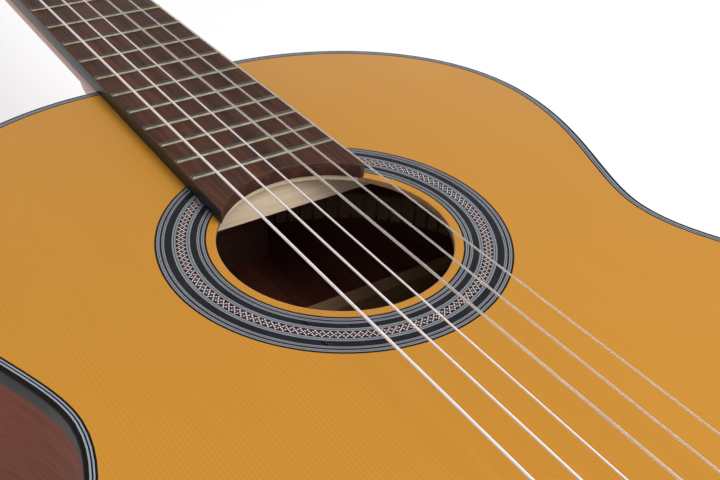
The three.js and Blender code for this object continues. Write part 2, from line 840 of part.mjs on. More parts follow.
// A gear whose teeth are one wave per tooth, leaning with the worm's thread.
function gearSolid(x0) {
  const count = gearTeeth * 4;
  const points = Array.from({ length: count }, (_, i) => {
    const angle = (2 * Math.PI * i) / count;
    const r = gearPitchRadius - toothClearance - toothHeight * Math.cos(gearTeeth * angle);
    return new THREE.Vector2(r * Math.cos(angle), r * Math.sin(angle));
  });
  const section = points.map((p) => [p.x, p.y]);
  const geometry = barAlongX(section, -gearThickness / 2, gearThickness / 2);
  const lean = wormPitch / (2 * Math.PI * wormPitchRadius * gearPitchRadius);
  warp(geometry, (p) => {
    const angle = p.x * lean;
    const y = p.y * Math.cos(angle) - p.z * Math.sin(angle);
    const z = p.y * Math.sin(angle) + p.z * Math.cos(angle);
    p.set(p.x + x0, y, z);
  });
  return geometry;
}

// The worm: a closed cylinder whose radius follows the thread.
function wormSolid() {
  const geometry = new THREE.CylinderGeometry(1, 1, wormLength, 10, 14);
  geometry.rotateX(Math.PI / 2);
  const contact = -Math.PI / 2;
  return warp(geometry, (p) => {
    const reach = Math.hypot(p.x, p.y);
    if (reach < 0.5) return;
    const turn = Math.atan2(p.y, p.x) - contact;
    const r = wormPitchRadius + toothHeight * Math.cos((2 * Math.PI * p.z) / wormPitch - turn);
    p.x *= r / reach;
    p.y *= r / reach;
  });
}

function rollerSolid(side, y) {
  const gearX = plateSeatX + plateThickness + wormOffset;
  const gear = solid(gearSolid(side * gearX));
  const inner = webHalf - rollerDepthInWeb;
  const wallX = plateSeatX - glueGap;
  const x = (near, far) => (side > 0 ? [near, far] : [-far, -near]);
  const barrel = pinAlongX(...x(inner, wallX), 0, 0, rollerRadius);
  const axle = pinAlongX(...x(wallX - 1, gearX + gearThickness / 2 + 0.8), 0, 0, gearAxleRadius, 12);
  return union([barrel, axle, gear]).translate([0, y, rollerZ]);
}

function knobSolid(side, y) {
  const x = side * (plateSeatX + plateThickness + wormOffset);
  const at = y + meshDistance;
  const worm = solid(wormSolid());
  const shaftTop = wormLength / 2 + glueGap + postThickness + 0.6;
  const stemStart = -(wormLength / 2 + glueGap + postThickness + glueGap);
  const buttonTop = stemStart - buttonStemLength - 8;
  const spindle = pinAlongZ(buttonTop - 2, shaftTop, 0, 0, wormShaftRadius);
  const stem = new THREE.CylinderGeometry(2.6, 3.4, buttonStemLength + 2, 12).rotateX(Math.PI / 2);
  const collar = pinAlongZ(stemStart - 1.6, stemStart, 0, 0, 2.6);
  const button = new THREE.SphereGeometry(1, 12, 8);
  button.scale(buttonThickness / 2, buttonWidth / 2, buttonHeight / 2);
  const whole = union([
    worm,
    spindle,
    collar,
    solid(stem.rotateX(Math.PI).translate(0, 0, buttonTop + 0.5)),
    solid(button.translate(0, 0, buttonTop - buttonHeight / 2)),
  ]);
  return whole.translate([x, at, rollerZ]);
}

// The plate with its worm posts: two ears per tuner, each with a hole for the worm's shaft.
function plateSolid(side) {
  const x = (near, far) => (side > 0 ? [near, far] : [-far, -near]);
  const [x0, x1] = x(plateSeatX, plateSeatX + plateThickness);
  const half = plateHeight / 2;
  const parts = [
    block(
      x0,
      rollerY(0) - plateEndMargin,
      rollerZ - half,
      x1,
      rollerY(2) + plateEndMargin + meshDistance - 6,
      rollerZ + half,
    ),
  ];
  const tools = [];
  const wormX = plateSeatX + plateThickness + wormOffset;
  for (let i = 0; i < 3; i++) {
    const y = rollerY(i);
    tools.push(pinAlongX(x0 - 1, x1 + 1, y, rollerZ, holeFor(gearAxleRadius, 12, glueGap), 12));
    const at = y + meshDistance;
    for (const way of [-1, 1]) {
      const near = wormLength / 2 + glueGap;
      const z = way > 0 ? [near, near + postThickness] : [-near - postThickness, -near];
      const [e0, e1] = x(plateSeatX + 0.2, wormX + postWidth / 2);
      parts.push(
        block(e0, at - postWidth / 2, rollerZ + z[0], e1, at + postWidth / 2, rollerZ + z[1]),
      );
    }
    const reach = wormLength / 2 + postThickness + 2;
    tools.push(
      pinAlongZ(rollerZ - reach, rollerZ + reach, side * wormX, at, holeFor(wormShaftRadius, 12)),
    );
  }
  return cut(union(parts), tools);
}

function addTuners() {
  for (const [side, name] of [[-1, "bass"], [1, "treble"]]) {
    place("tuner_plate_" + name, plateSolid(side), "brass", head);
    for (let i = 0; i < 3; i++) {
      const number = side < 0 ? 6 - i : 1 + i;
      place("roller_" + number, rollerSolid(side, rollerY(i)), "bone", head);
      place("knob_" + number, knobSolid(side, rollerY(i)), "pearl", head);
    }
  }
}

addBody();
addBlocks();
addBracing();
addBridge();
addNeck();
addFingerboard();
addFrets();
addNut();
addStrings();
addTuners();

export default guitar;
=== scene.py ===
import bpy
import math
from mathutils import Matrix, Vector


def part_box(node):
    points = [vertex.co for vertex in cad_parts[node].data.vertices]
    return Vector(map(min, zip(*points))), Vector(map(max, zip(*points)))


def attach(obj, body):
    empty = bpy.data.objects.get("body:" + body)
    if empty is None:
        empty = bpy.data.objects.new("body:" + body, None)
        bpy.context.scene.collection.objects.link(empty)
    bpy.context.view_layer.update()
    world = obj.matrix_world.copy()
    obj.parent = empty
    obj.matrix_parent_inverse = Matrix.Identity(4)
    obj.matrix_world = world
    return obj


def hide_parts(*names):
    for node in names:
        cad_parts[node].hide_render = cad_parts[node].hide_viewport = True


# Classical guitar. Sizes below are in millimetres: x to the treble side, y from the saddle to the head,
# z up from the plane under the back. They are turned into metres where a piece is made.

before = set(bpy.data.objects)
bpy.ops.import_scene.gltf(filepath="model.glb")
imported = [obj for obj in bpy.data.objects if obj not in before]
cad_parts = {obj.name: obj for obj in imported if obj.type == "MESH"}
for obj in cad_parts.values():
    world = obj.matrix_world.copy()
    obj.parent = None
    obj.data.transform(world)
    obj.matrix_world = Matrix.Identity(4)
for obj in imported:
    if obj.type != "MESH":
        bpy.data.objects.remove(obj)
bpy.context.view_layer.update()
mm = 0.001
saddleY = sum(p.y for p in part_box("saddle")) / 2
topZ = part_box("soundboard")[1].z / mm
holeY = (sum(p.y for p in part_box("rosette")) / 2 - saddleY) / mm


def spot(x, y, z):
    return Vector((x * mm, y * mm + saddleY, z * mm))


def setMode(mode):
    bpy.ops.object.mode_set(mode=mode)


def selectMesh(action):
    bpy.ops.mesh.select_all(action=action)


def deselect():
    if bpy.context.object and bpy.context.object.mode != "OBJECT":
        setMode("OBJECT")
    bpy.ops.object.select_all(action="DESELECT")


def pick(*pieces):
    deselect()
    for piece in pieces:
        piece.select_set(True)
    bpy.context.view_layer.objects.active = pieces[0]


def bake(piece):
    # puts the piece's place into its mesh
    pick(piece)
    bpy.ops.object.transform_apply(location=True, rotation=True, scale=True)
    return piece


def editAll(piece):
    # edit mode with the whole mesh selected
    pick(piece)
    setMode("EDIT")
    selectMesh("SELECT")


def finishPiece(piece, name, material, body="guitar", replaces=(), angle=35):
    bake(piece)
    piece.name = name
    piece.data.name = name
    piece.data.materials.clear()
    piece.data.materials.append(material)
    if angle is not None:
        bpy.ops.object.shade_smooth_by_angle(angle=math.radians(angle))
    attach(piece, body)
    if replaces:
        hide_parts(*replaces)
    return piece


def addBox(low, high):
    # a box between two corners
    deselect()
    a, b = spot(*low), spot(*high)
    bpy.ops.mesh.primitive_cube_add(size=1, location=(a + b) / 2)
    piece = bpy.context.object
    piece.scale = [abs(v) for v in b - a]
    return bake(piece)


def addRod(radius, start, end, sides=48):
    # a round bar between two points
    deselect()
    a, b = spot(*start), spot(*end)
    bpy.ops.mesh.primitive_cylinder_add(vertices=sides, radius=radius * mm, depth=(b - a).length, location=(a + b) / 2)
    piece = bpy.context.object
    piece.rotation_mode = "QUATERNION"
    piece.rotation_quaternion = (b - a).to_track_quat("Z", "Y")
    return bake(piece)


def applyModifier(piece, kind, **settings):
    pick(piece)
    modifier = piece.modifiers.new("work", kind)
    for key, value in settings.items():
        setattr(modifier, key, value)
    bpy.ops.object.modifier_apply(modifier=modifier.name)
    return piece


def roundEdges(piece, width, segments=3, angle=40):
    return applyModifier(piece, "BEVEL", width=width * mm, segments=segments, limit_method="ANGLE",
                         angle_limit=math.radians(angle), harden_normals=False)


def boolean(piece, tool, operation="DIFFERENCE"):
    applyModifier(piece, "BOOLEAN", object=tool, operation=operation, solver="EXACT")
    bpy.data.objects.remove(tool)
    return piece


def join(pieces):
    pick(*pieces)
    if len(pieces) > 1:
        bpy.ops.object.join()
    return bpy.context.object


def outwards(piece):
    # closes seams and turns every face to the outside
    editAll(piece)
    bpy.ops.mesh.remove_doubles(threshold=0.000001)
    bpy.ops.mesh.normals_make_consistent(inside=False)
    setMode("OBJECT")
    return piece


def cutFlat(piece, place, normal, keepLow=False):
    # cuts a piece along a plane and closes it; it keeps the side the normal points to
    editAll(piece)
    bpy.ops.mesh.bisect(plane_co=place, plane_no=normal, use_fill=True, clear_inner=not keepLow, clear_outer=keepLow)
    setMode("OBJECT")


def roundChosen(piece, width, segments, chosen):
    # rounds the edges for which chosen says yes to the places of both ends
    pick(piece)
    setMode("EDIT")
    bpy.ops.mesh.select_mode(type="EDGE")
    selectMesh("DESELECT")
    setMode("OBJECT")
    for e in piece.data.edges:
        e.select = chosen(*(piece.data.vertices[v].co for v in e.vertices))
    setMode("EDIT")
    bpy.ops.mesh.bevel(offset=width * mm, segments=segments)
    setMode("OBJECT")


def roundTop(piece, height, width, segments):
    # rounds the edges at one height
    roundChosen(piece, width, segments, lambda a, b: all(abs(v.z - height * mm) < 1e-6 for v in (a, b)))


def closedOutline(knots, level, smoothness):
    # a flat face inside a closed curve, left in edit mode
    deselect()
    bpy.ops.curve.primitive_bezier_circle_add(radius=1, location=(0, 0, 0))
    curve = bpy.context.object
    spline = curve.data.splines[0]
    spline.bezier_points.add(len(knots) - len(spline.bezier_points))
    for knot, (at, before, after) in zip(spline.bezier_points, knots):
        knot.handle_left_type = knot.handle_right_type = "FREE"
        knot.co = spot(*at, level)
        knot.handle_left = spot(*before, level)
        knot.handle_right = spot(*after, level)
    curve.data.resolution_u = smoothness
    bpy.ops.object.convert(target="MESH")
    setMode("EDIT")
    selectMesh("SELECT")
    bpy.ops.mesh.remove_doubles(threshold=0.00001)
    bpy.ops.mesh.edge_face_add()
    bpy.ops.mesh.select_mode(type="FACE")
    return bpy.context.object


def mirroredKnots(half):
    # the whole outline from its treble half
    flip = [((-p[0], p[1]), (-a[0], a[1]), (-b[0], b[1])) for p, b, a in reversed(half[:-1])]
    return half + flip


def shapedTube(around, rings, place, name):
    # a grid rolled up into a closed tube: place(u, v) gives each point, u round it and v along it
    deselect()
    bpy.ops.mesh.primitive_grid_add(x_subdivisions=around, y_subdivisions=rings, size=1)
    piece = bpy.context.object
    for v in piece.data.vertices:
        v.co = spot(*place(v.co.x + 0.5, v.co.y + 0.5))
    setMode("EDIT")
    selectMesh("SELECT")
    bpy.ops.mesh.remove_doubles(threshold=0.000005)
    bpy.ops.mesh.fill_holes(sides=0)
    bpy.ops.mesh.normals_make_consistent(inside=False)
    setMode("OBJECT")
    piece.name = name
    return piece


class Recipe:
    # a node material built up one node at a time
    def __init__(self, name):
        self.material = bpy.data.materials.new(name)
        self.material.use_nodes = True
        self.tree = self.material.node_tree
        self.shader = self.tree.nodes["Principled BSDF"]

    def node(self, kind, **settings):
        made = self.tree.nodes.new(kind)
        for key, value in settings.items():
            if key in made.inputs:
                made.inputs[key].default_value = value
            else:
                setattr(made, key, value)
        return made

    def link(self, out, into):
        self.tree.links.new(out, into)

    def coords(self, scale=(1, 1, 1)):
        source = self.node("ShaderNodeTexCoord")
        mapping = self.node("ShaderNodeMapping", Scale=scale)
        self.link(source.outputs["Object"], mapping.inputs["Vector"])
        return mapping.outputs["Vector"]

    def noise(self, vector, scale, detail=4, roughness=0.55, distortion=0.0):
        made = self.node("ShaderNodeTexNoise", Scale=scale, Detail=detail, Roughness=roughness, Distortion=distortion)
        self.link(vector, made.inputs["Vector"])
        return made.outputs["Fac"]

    def ramp(self, value, *stops):
        made = self.node("ShaderNodeValToRGB")
        elements = made.color_ramp.elements
        while len(elements) < len(stops):
            elements.new(0.5)
        for element, (place, colour) in zip(elements, stops):
            element.position = place
            element.color = (*colour, 1)
        self.link(value, made.inputs["Fac"])
        return made.outputs["Color"]

    def feed(self, value, socket):
        # a link or a constant, whichever it is given
        if isinstance(value, bpy.types.NodeSocket):
            self.link(value, socket)
        else:
            socket.default_value = (*value, 1) if isinstance(value, tuple) else value

    def mix(self, factor, a, b, blend="MIX"):
        made = self.node("ShaderNodeMix", data_type="RGBA", blend_type=blend)
        for value, place in ((factor, 0), (a, 6), (b, 7)):
            self.feed(value, made.inputs[place])
        return made.outputs[2]

    def math(self, operation, a, b=0.0):
        made = self.node("ShaderNodeMath", operation=operation)
        self.feed(a, made.inputs[0])
        self.feed(b, made.inputs[1])
        return made.outputs[0]

    def span(self, value, low, high):
        # a 0 to 1 value moved to another range
        made = self.node("ShaderNodeMapRange")
        self.link(value, made.inputs["Value"])
        made.inputs["To Min"].default_value = low
        made.inputs["To Max"].default_value = high
        return made.outputs["Result"]

    def finish(self, colour, roughness, bump=None, strength=0.1, distance=0.0002, **constants):
        self.feed(colour, self.shader.inputs["Base Color"])
        self.feed(roughness, self.shader.inputs["Roughness"])
        if bump is not None:
            made = self.node("ShaderNodeBump", Strength=strength, Distance=distance)
            self.link(bump, made.inputs["Height"])
            self.link(made.outputs["Normal"], self.shader.inputs["Normal"])
        for name, value in constants.items():
            self.shader.inputs[name.replace("_", " ")].default_value = value
        return self.material


def spruceTop():
    # straight fine grain along the strings under amber lacquer
    r = Recipe("amberSpruce")
    along = r.coords(scale=(1, 0.012, 0.3))
    wave = r.node("ShaderNodeTexWave", Scale=235.0, Distortion=5.0, Detail=2.0)
    wave.inputs["Detail Scale"].default_value = 0.5
    r.link(along, wave.inputs["Vector"])
    lines = wave.outputs["Fac"]
    fibre = r.noise(r.coords(scale=(1, 0.02, 0.3)), 2400, detail=2)
    broad = r.noise(r.coords(scale=(1, 0.12, 0.3)), 14, detail=2)
    base = r.ramp(broad, (0.3, (0.605, 0.268, 0.027)), (0.7, (0.638, 0.287, 0.031)))
    grain = r.ramp(lines, (0.0, (1, 1, 1)), (0.55, (0.98, 0.97, 0.95)), (1.0, (0.85, 0.80, 0.70)))
    fade = r.span(r.noise(r.coords(scale=(1, 0.3, 1)), 30, detail=1), 0.2, 0.8)
    colour = r.mix(fade, base, grain, "MULTIPLY")
    speck = r.ramp(fibre, (0.3, (0.94, 0.92, 0.90)), (0.6, (1, 1, 1)))
    colour = r.mix(0.5, colour, speck, "MULTIPLY")
    rough = r.span(fibre, 0.30, 0.40)
    return r.finish(colour, rough, bump=fibre, strength=0.05, distance=0.0001,
                    Coat_Weight=0.6, Coat_Roughness=0.12, Coat_IOR=1.5)


def lacquer(name, colour, vary, roughness=0.22, coat=0.5, specular=0.5):
    r = Recipe(name)
    cloud = r.noise(r.coords(), 90, detail=3)
    tone = r.ramp(cloud, (0.3, colour), (0.7, tuple(min(1, c * vary) for c in colour)))
    return r.finish(tone, r.span(cloud, roughness * 0.8, roughness * 1.25), Coat_Weight=coat, Coat_Roughness=0.08,
                    Specular_IOR_Level=specular)


def figuredWood(name, dark, mid, light, stretch=(1, 0.05, 1), roughness=0.3, coat=0.6, coatRoughness=0.08,
                pores=0.5, strength=0.15, specular=0.5):
    # long streaks along the grain with fine pores
    r = Recipe(name)
    along = r.coords(scale=stretch)
    streaks = r.noise(along, 130, detail=5, roughness=0.62, distortion=0.35)
    poreLines = r.noise(along, 900, detail=2, roughness=0.5)
    patches = r.noise(r.coords(), 16, detail=2)
    tone = r.ramp(streaks, (0.30, dark), (0.5, mid), (0.72, light))
    tone = r.mix(r.span(patches, 0.0, 0.35), tone, mid)
    grain = r.ramp(poreLines, (0.40, (0.45, 0.42, 0.40)), (0.52, (1, 1, 1)))
    tone = r.mix(pores, tone, grain, "MULTIPLY")
    return r.finish(tone, r.span(poreLines, roughness * 1.2, roughness * 0.85), bump=poreLines, strength=strength,
                    distance=0.0001, Coat_Weight=coat, Coat_Roughness=coatRoughness, Specular_IOR_Level=specular)


def plainMetal(name, colour, roughness):
    r = Recipe(name)
    marks = r.noise(r.coords(scale=(1, 1, 0.2)), 700, detail=3)
    tone = r.ramp(marks, (0.3, tuple(c * 0.88 for c in colour)), (0.7, colour))
    return r.finish(tone, r.span(marks, roughness * 0.7, roughness * 1.35), bump=marks, strength=0.03,
                    distance=0.00005, Metallic=1.0)


def windingMetal():
    # wound string: the wire's turns run round the string, from its own map
    r = Recipe("woundSilver")
    source = r.node("ShaderNodeTexCoord")
    parts = r.node("ShaderNodeSeparateXYZ")
    r.link(source.outputs["UV"], parts.inputs[0])
    wave = r.math("SINE", r.math("MULTIPLY", parts.outputs[0], 2 * math.pi))
    height = r.span(wave, 0.0, 1.0)
    # painted shade: the grooves between the turns are coloured darker than the crests
    tone = r.ramp(height, (0.1, (0.80, 0.74, 0.74)), (0.7, (1.0, 0.96, 0.95)))
    return r.finish(tone, 0.4, bump=height, strength=0.25, distance=0.00005, Metallic=0.1)


def clearNylon():
    r = Recipe("clearNylon")
    cloud = r.noise(r.coords(), 60, detail=2)
    tone = r.ramp(cloud, (0.3, (0.90, 0.85, 0.82)), (0.7, (0.96, 0.92, 0.89)))
    return r.finish(tone, 0.12, Transmission_Weight=0.7, IOR=1.53, Coat_Weight=0.3, Coat_Roughness=0.05)


def softGlow(name, low, high, roughness, scale=180, sub=0.0, coat=0.4):
    # cream materials: bone and pearl
    r = Recipe(name)
    cloud = r.noise(r.coords(scale=(1, 1, 0.4)), scale, detail=4, distortion=0.8)
    tone = r.ramp(cloud, (0.3, low), (0.7, high))
    return r.finish(tone, roughness, bump=cloud, strength=0.02, distance=0.0001, Coat_Weight=coat,
                    Coat_Roughness=0.06, Subsurface_Weight=sub, Subsurface_Scale=0.002)


looks = {
    "top": spruceTop(),
    "black": lacquer("blackLacquer", (0.010, 0.011, 0.014), 1.5),
    "grey": lacquer("greyLine", (0.245, 0.255, 0.285), 1.15),
    "pale": lacquer("paleLine", (0.31, 0.345, 0.40), 1.1, coat=0.2),
    "navy": lacquer("navyLine", (0.006, 0.010, 0.022), 1.5, coat=0.2),
    "edge": lacquer("edgeBlack", (0.008, 0.006, 0.006), 1.5, roughness=0.4, coat=0.0, specular=0.17),
    "glue": lacquer("glueLine", (0.001, 0.001, 0.001), 1.0, roughness=0.8, coat=0.0, specular=0.0),
    "tile": lacquer("paleTile", (0.76, 0.66, 0.67), 1.1),
    "plum": lacquer("plumTile", (0.13, 0.05, 0.065), 1.3),
    "body": figuredWood("redRosewood", (0.080, 0.022, 0.014), (0.17, 0.050, 0.033), (0.26, 0.085, 0.055),
                        stretch=(1, 0.05, 1), roughness=0.42, coat=0.12, coatRoughness=0.15, pores=0.35, strength=0.05),
    "ribs": figuredWood("ribRosewood", (0.140, 0.037, 0.020), (0.168, 0.046, 0.025), (0.20, 0.056, 0.031),
                        stretch=(0.07, 0.07, 1), roughness=0.5, coat=0.0, pores=0.25, strength=0.05, specular=0.06),
    "neck": figuredWood("reddishMahogany", (0.24, 0.085, 0.050), (0.34, 0.13, 0.078), (0.43, 0.175, 0.11),
                        stretch=(1, 0.04, 1), roughness=0.3, coat=0.2, coatRoughness=0.1, pores=0.35, strength=0.06,
                        specular=0.12),
    "board": figuredWood("fingerboardRosewood", (0.036, 0.017, 0.012), (0.075, 0.030, 0.019), (0.15, 0.050, 0.026),
                         stretch=(1, 0.045, 1), roughness=0.5, coat=0.05, coatRoughness=0.2, pores=0.6, strength=0.25,
                         specular=0.3),
    # painted shade: the fingerboard's long sides are painted near black for the shade on them
    "shadedSides": figuredWood("sideShadeWood", (0.006, 0.004, 0.004), (0.011, 0.008, 0.007), (0.018, 0.012, 0.010),
                        stretch=(1, 0.045, 1), roughness=0.35, coat=0.05, pores=0.4, strength=0.1, specular=0.3),
    # partly painted shade: the blocks' mahogany is darker than the neck's, for the shade inside the body
    "blocks": figuredWood("blockMahogany", (0.10, 0.040, 0.022), (0.15, 0.062, 0.036), (0.20, 0.085, 0.050),
                          stretch=(0.05, 1, 1), roughness=0.6, coat=0.0, pores=0.3),
    "bare": figuredWood("bareSpruce", (0.74, 0.55, 0.37), (0.82, 0.64, 0.45), (0.88, 0.71, 0.53),
                        stretch=(0.05, 1, 1), roughness=0.62, coat=0.0, pores=0.12, strength=0.1),
    "bridge": figuredWood("bridgeRosewood", (0.030, 0.013, 0.010), (0.075, 0.031, 0.022), (0.14, 0.052, 0.036),
                          stretch=(0.05, 1, 1), roughness=0.4, coat=0.15, coatRoughness=0.2, pores=0.6, strength=0.2),
    "inner": figuredWood("bareCedar", (0.26, 0.13, 0.065), (0.36, 0.20, 0.105), (0.46, 0.28, 0.16),
                         stretch=(0.05, 1, 1), roughness=0.62, coat=0.0, pores=0.25, strength=0.15),
    "bone": softGlow("bone", (0.78, 0.72, 0.58), (0.88, 0.84, 0.74), 0.35, sub=0.1),
    "pearl": softGlow("pearlButton", (0.72, 0.69, 0.62), (0.92, 0.90, 0.86), 0.18, scale=240, coat=1.0),
    "frets": plainMetal("nickelSilver", (0.22, 0.20, 0.15), 0.5),
    "brass": plainMetal("tunerBrass", (0.86, 0.62, 0.28), 0.22),
    "steel": plainMetal("tunerSteel", (0.62, 0.61, 0.60), 0.25),
    "wound": windingMetal(),
    "nylon": clearNylon(),
}
print("materials ready")


bodyShape = {
    # from the neck's treble corner round to the tail: (point, handle before, handle after)
    "half": [
        ((32, 325), (10, 325), (85, 325)),
        ((142, 232.6), (142, 290.6), (142, 190.6)),
        ((117.8, 135.6), (117.8, 158.6), (117.8, 91.6)),
        ((184, -32), (184, 53), (184, -108)),
        ((0, -162), (98, -162), (-98, -162)),
    ],
    "smoothness": 26,
    "bindingTop": 1.75,  # width of the black edge seen from above
    "bindingHeight": 6,
    "bindingRound": 0.95,
    "lineDepth": 2.0,
    # the lines inside the black edge: (look, width)
    "lines": [("pale", 0.58), ("navy", 0.52), ("pale", 0.46), ("edge", 0.75)],
    "topThickness": 2.5,
    "backThickness": 2.7,
    "ribThickness": 2.0,
    "depth": 97,
    "bindingBack": 1.6,
    "backRound": 0.9,
    "backLine": 0.6,
    "tailStripHalf": 3,
    "heelGapHalf": 13.3,
}


def bodyOutline():
    # the closed outline as one flat face at z = 0
    return closedOutline(mirroredKnots(bodyShape["half"]), 0, bodyShape["smoothness"])


def bodyBand(outer, inner, low, high):
    # a plate that follows the outline between two insets, or a whole plate when inner is None
    piece = bodyOutline()
    if outer:
        bpy.ops.mesh.inset(thickness=outer * mm, use_even_offset=True)
        selectMesh("INVERT")
        bpy.ops.mesh.delete(type="FACE")
        selectMesh("SELECT")
    if inner is not None:
        bpy.ops.mesh.inset(thickness=(inner - outer) * mm, use_even_offset=True)
        bpy.ops.mesh.delete(type="ONLY_FACE")
    selectMesh("SELECT")
    bpy.ops.transform.translate(value=(0, 0, low * mm))
    bpy.ops.mesh.extrude_region_move(TRANSFORM_OT_translate={"value": (0, 0, (high - low) * mm)})
    return outwards(piece)


def flatRing(inner, outer, low, high):
    # a flat ring round the sound hole
    deselect()
    middle = spot(0, holeY, low)
    bpy.ops.mesh.primitive_circle_add(vertices=rosette["sides"], radius=inner * mm, location=middle)
    piece = bake(bpy.context.object)
    editAll(piece)
    bpy.ops.mesh.extrude_edges_move()
    grow = outer / inner
    bpy.ops.transform.resize(value=(grow, grow, 1), center_override=middle)
    selectMesh("SELECT")
    bpy.ops.mesh.extrude_region_move(TRANSFORM_OT_translate={"value": (0, 0, (high - low) * mm)})
    return outwards(piece)


rosette = {
    "holeRadius": 43.5,
    "start": 46.9,
    "depth": 1.2,
    "sides": 192,
    # rings from the inside out: (look, width)
    "rings": [("edge", 0.7), ("grey", 0.44), ("navy", 0.2), ("grey", 0.44), ("edge", 0.65),
              ("grey", 0.38), ("navy", 0.2), ("grey", 0.38), ("black", 2.35),
              ("grey", 0.6), ("navy", 0.22), ("grey", 0.6),
              ("edge", 0.2), ("mosaic", 3.2), ("edge", 0.2),
              ("grey", 0.6), ("navy", 0.22), ("grey", 0.6), ("black", 2.6),
              ("grey", 0.38), ("navy", 0.2), ("grey", 0.38),
              ("edge", 0.7), ("grey", 0.44), ("navy", 0.2), ("grey", 0.44), ("edge", 0.75)],
    # where the ends of the two wide black rings meet: (radius, degrees round the hole)
    "joints": [(51.65, -133.8), (60.65, -126.6)],
    "slant": 12,
    "diamonds": 140,
}


def makeSoundboard():
    edge = bodyShape["bindingTop"] + sum(w for _, w in bodyShape["lines"])
    under = topZ - bodyShape["topThickness"]
    board = bodyBand(edge, None, under, topZ)
    outer = rosette["start"] + sum(w for _, w in rosette["rings"])
    for radius, low in ((outer, topZ - rosette["depth"]), (rosette["holeRadius"], under - 2)):
        boolean(board, addRod(radius, (0, holeY, low), (0, holeY, topZ + 2), rosette["sides"]))
    rim = flatRing(rosette["holeRadius"], rosette["start"], topZ - rosette["depth"], topZ)
    middle = spot(0, holeY, topZ)
    reach = (rosette["holeRadius"] + 0.5) * mm
    roundChosen(rim, 0.45, 4,
                lambda a, b: all(abs(v.z - middle.z) < 1e-6 and (v - middle).length < reach for v in (a, b)))
    whole = join([board, rim])
    finishPiece(whole, "soundboard_plate", looks["top"], replaces=["soundboard"], angle=30)
    # the wall of the hole is bare wood, and so is its edge under the fingerboard; away from the fingerboard the wall
    # gets the darker cedar as painted shade
    whole.data.materials.append(looks["bare"])
    whole.data.materials.append(looks["inner"])
    for face in whole.data.polygons:
        c = face.center
        fromHole = math.hypot(c.x, c.y - spot(0, holeY, 0).y) / mm
        covered = abs(c.x) < 30.6 * mm and c.y > spot(0, holeY, 0).y
        if fromHole < rosette["holeRadius"] + 0.6 and abs(face.normal.z) < (0.99 if covered else 0.5):
            # index 2, the darker cedar, is painted shade on the open wall
            face.material_index = 1 if covered else 2


def roundOuterRim(band, height, width, segments):
    # rounds the outside edge of a band at one height: there its distance from the outline is nearly nothing
    outline = bodyOutline()
    setMode("OBJECT")
    rim = [v.co.copy() for v in outline.data.vertices]
    bpy.data.objects.remove(outline)

    def onRim(v):
        flat = Vector((v.x, v.y, 0))
        return abs(v.z - height * mm) < 1e-5 and min((flat - r).length_squared for r in rim) < (0.3 * mm) ** 2

    roundChosen(band, width, segments, lambda a, b: onRim(a) and onRim(b))


def makeEdges():
    width = bodyShape["bindingTop"]
    binding = bodyBand(0, width, topZ - bodyShape["bindingHeight"], topZ)
    roundOuterRim(binding, topZ, bodyShape["bindingRound"], 5)
    finishPiece(binding, "edge_binding_top", looks["edge"], replaces=["top_binding"])
    at = width
    groups = {}
    for look, wide in bodyShape["lines"]:
        groups.setdefault(look, []).append(bodyBand(at, at + wide, topZ - bodyShape["lineDepth"], topZ))
        at += wide
    for look, bands in groups.items():
        finishPiece(join(bands), "edge_lines_" + look, looks[look])


def makeRosette():
    at = rosette["start"]
    groups = {}
    low = topZ - rosette["depth"]
    for look, wide in rosette["rings"]:
        groups.setdefault("edge" if look == "mosaic" else look, []).append(flatRing(at, at + wide, low, topZ))
        if look == "mosaic":
            mosaicStart, mosaicWidth = at, wide
        at += wide
    for look, rings in groups.items():
        finishPiece(join(rings), "rosette_rings_" + look, looks[look],
                    replaces=["rosette"] if look == "black" else ())
    ticks = []
    for radius, degrees in rosette["joints"]:  # a thin slanting glue line across each wide ring
        turn = math.radians(degrees)
        x, y = radius * math.cos(turn), holeY + radius * math.sin(turn)
        tick = addBox((x - 0.24, y - 1.5, topZ - 0.3), (x + 0.24, y + 1.5, topZ + 0.03))
        editAll(tick)
        bpy.ops.transform.rotate(value=-math.radians(rosette["slant"]), orient_axis="Z",
                                 center_override=spot(x, y, topZ))
        setMode("OBJECT")
        ticks.append(tick)
    finishPiece(join(ticks), "rosette_joints", looks["glue"], angle=None)
    # one diamond of small tiles, then copies round the ring
    radius = mosaicStart + mosaicWidth / 2
    pitch = 2 * math.pi * radius / rosette["diamonds"] / 4
    rows = mosaicWidth / 5
    layouts = {
        "tile": [(0, 0), (0, 4), (1, 1), (1, 3), (2, 2), (3, 1), (3, 3)],
        "plum": [(0, 2)],
    }
    for look, tiles in layouts.items():
        made = []
        for column, row in tiles:
            x = (column - 1.5) * pitch
            y = holeY + radius + (row - 2) * rows
            size = 0.5 * rows * 0.88
            made.append(addBox((x - pitch * 0.42, y - size, topZ - 0.2), (x + pitch * 0.42, y + size, topZ + 0.012)))
        group = join(made)
        editAll(group)
        count = rosette["diamonds"]
        bpy.ops.mesh.spin(steps=count - 1, dupli=True, angle=2 * math.pi * (count - 1) / count,
                          center=spot(0, holeY, topZ), axis=(0, 0, 1))
        setMode("OBJECT")
        finishPiece(group, "rosette_" + look + "s", looks[look], angle=None)


makeSoundboard()
makeEdges()
makeRosette()
print("soundboard, edges and rosette ready")


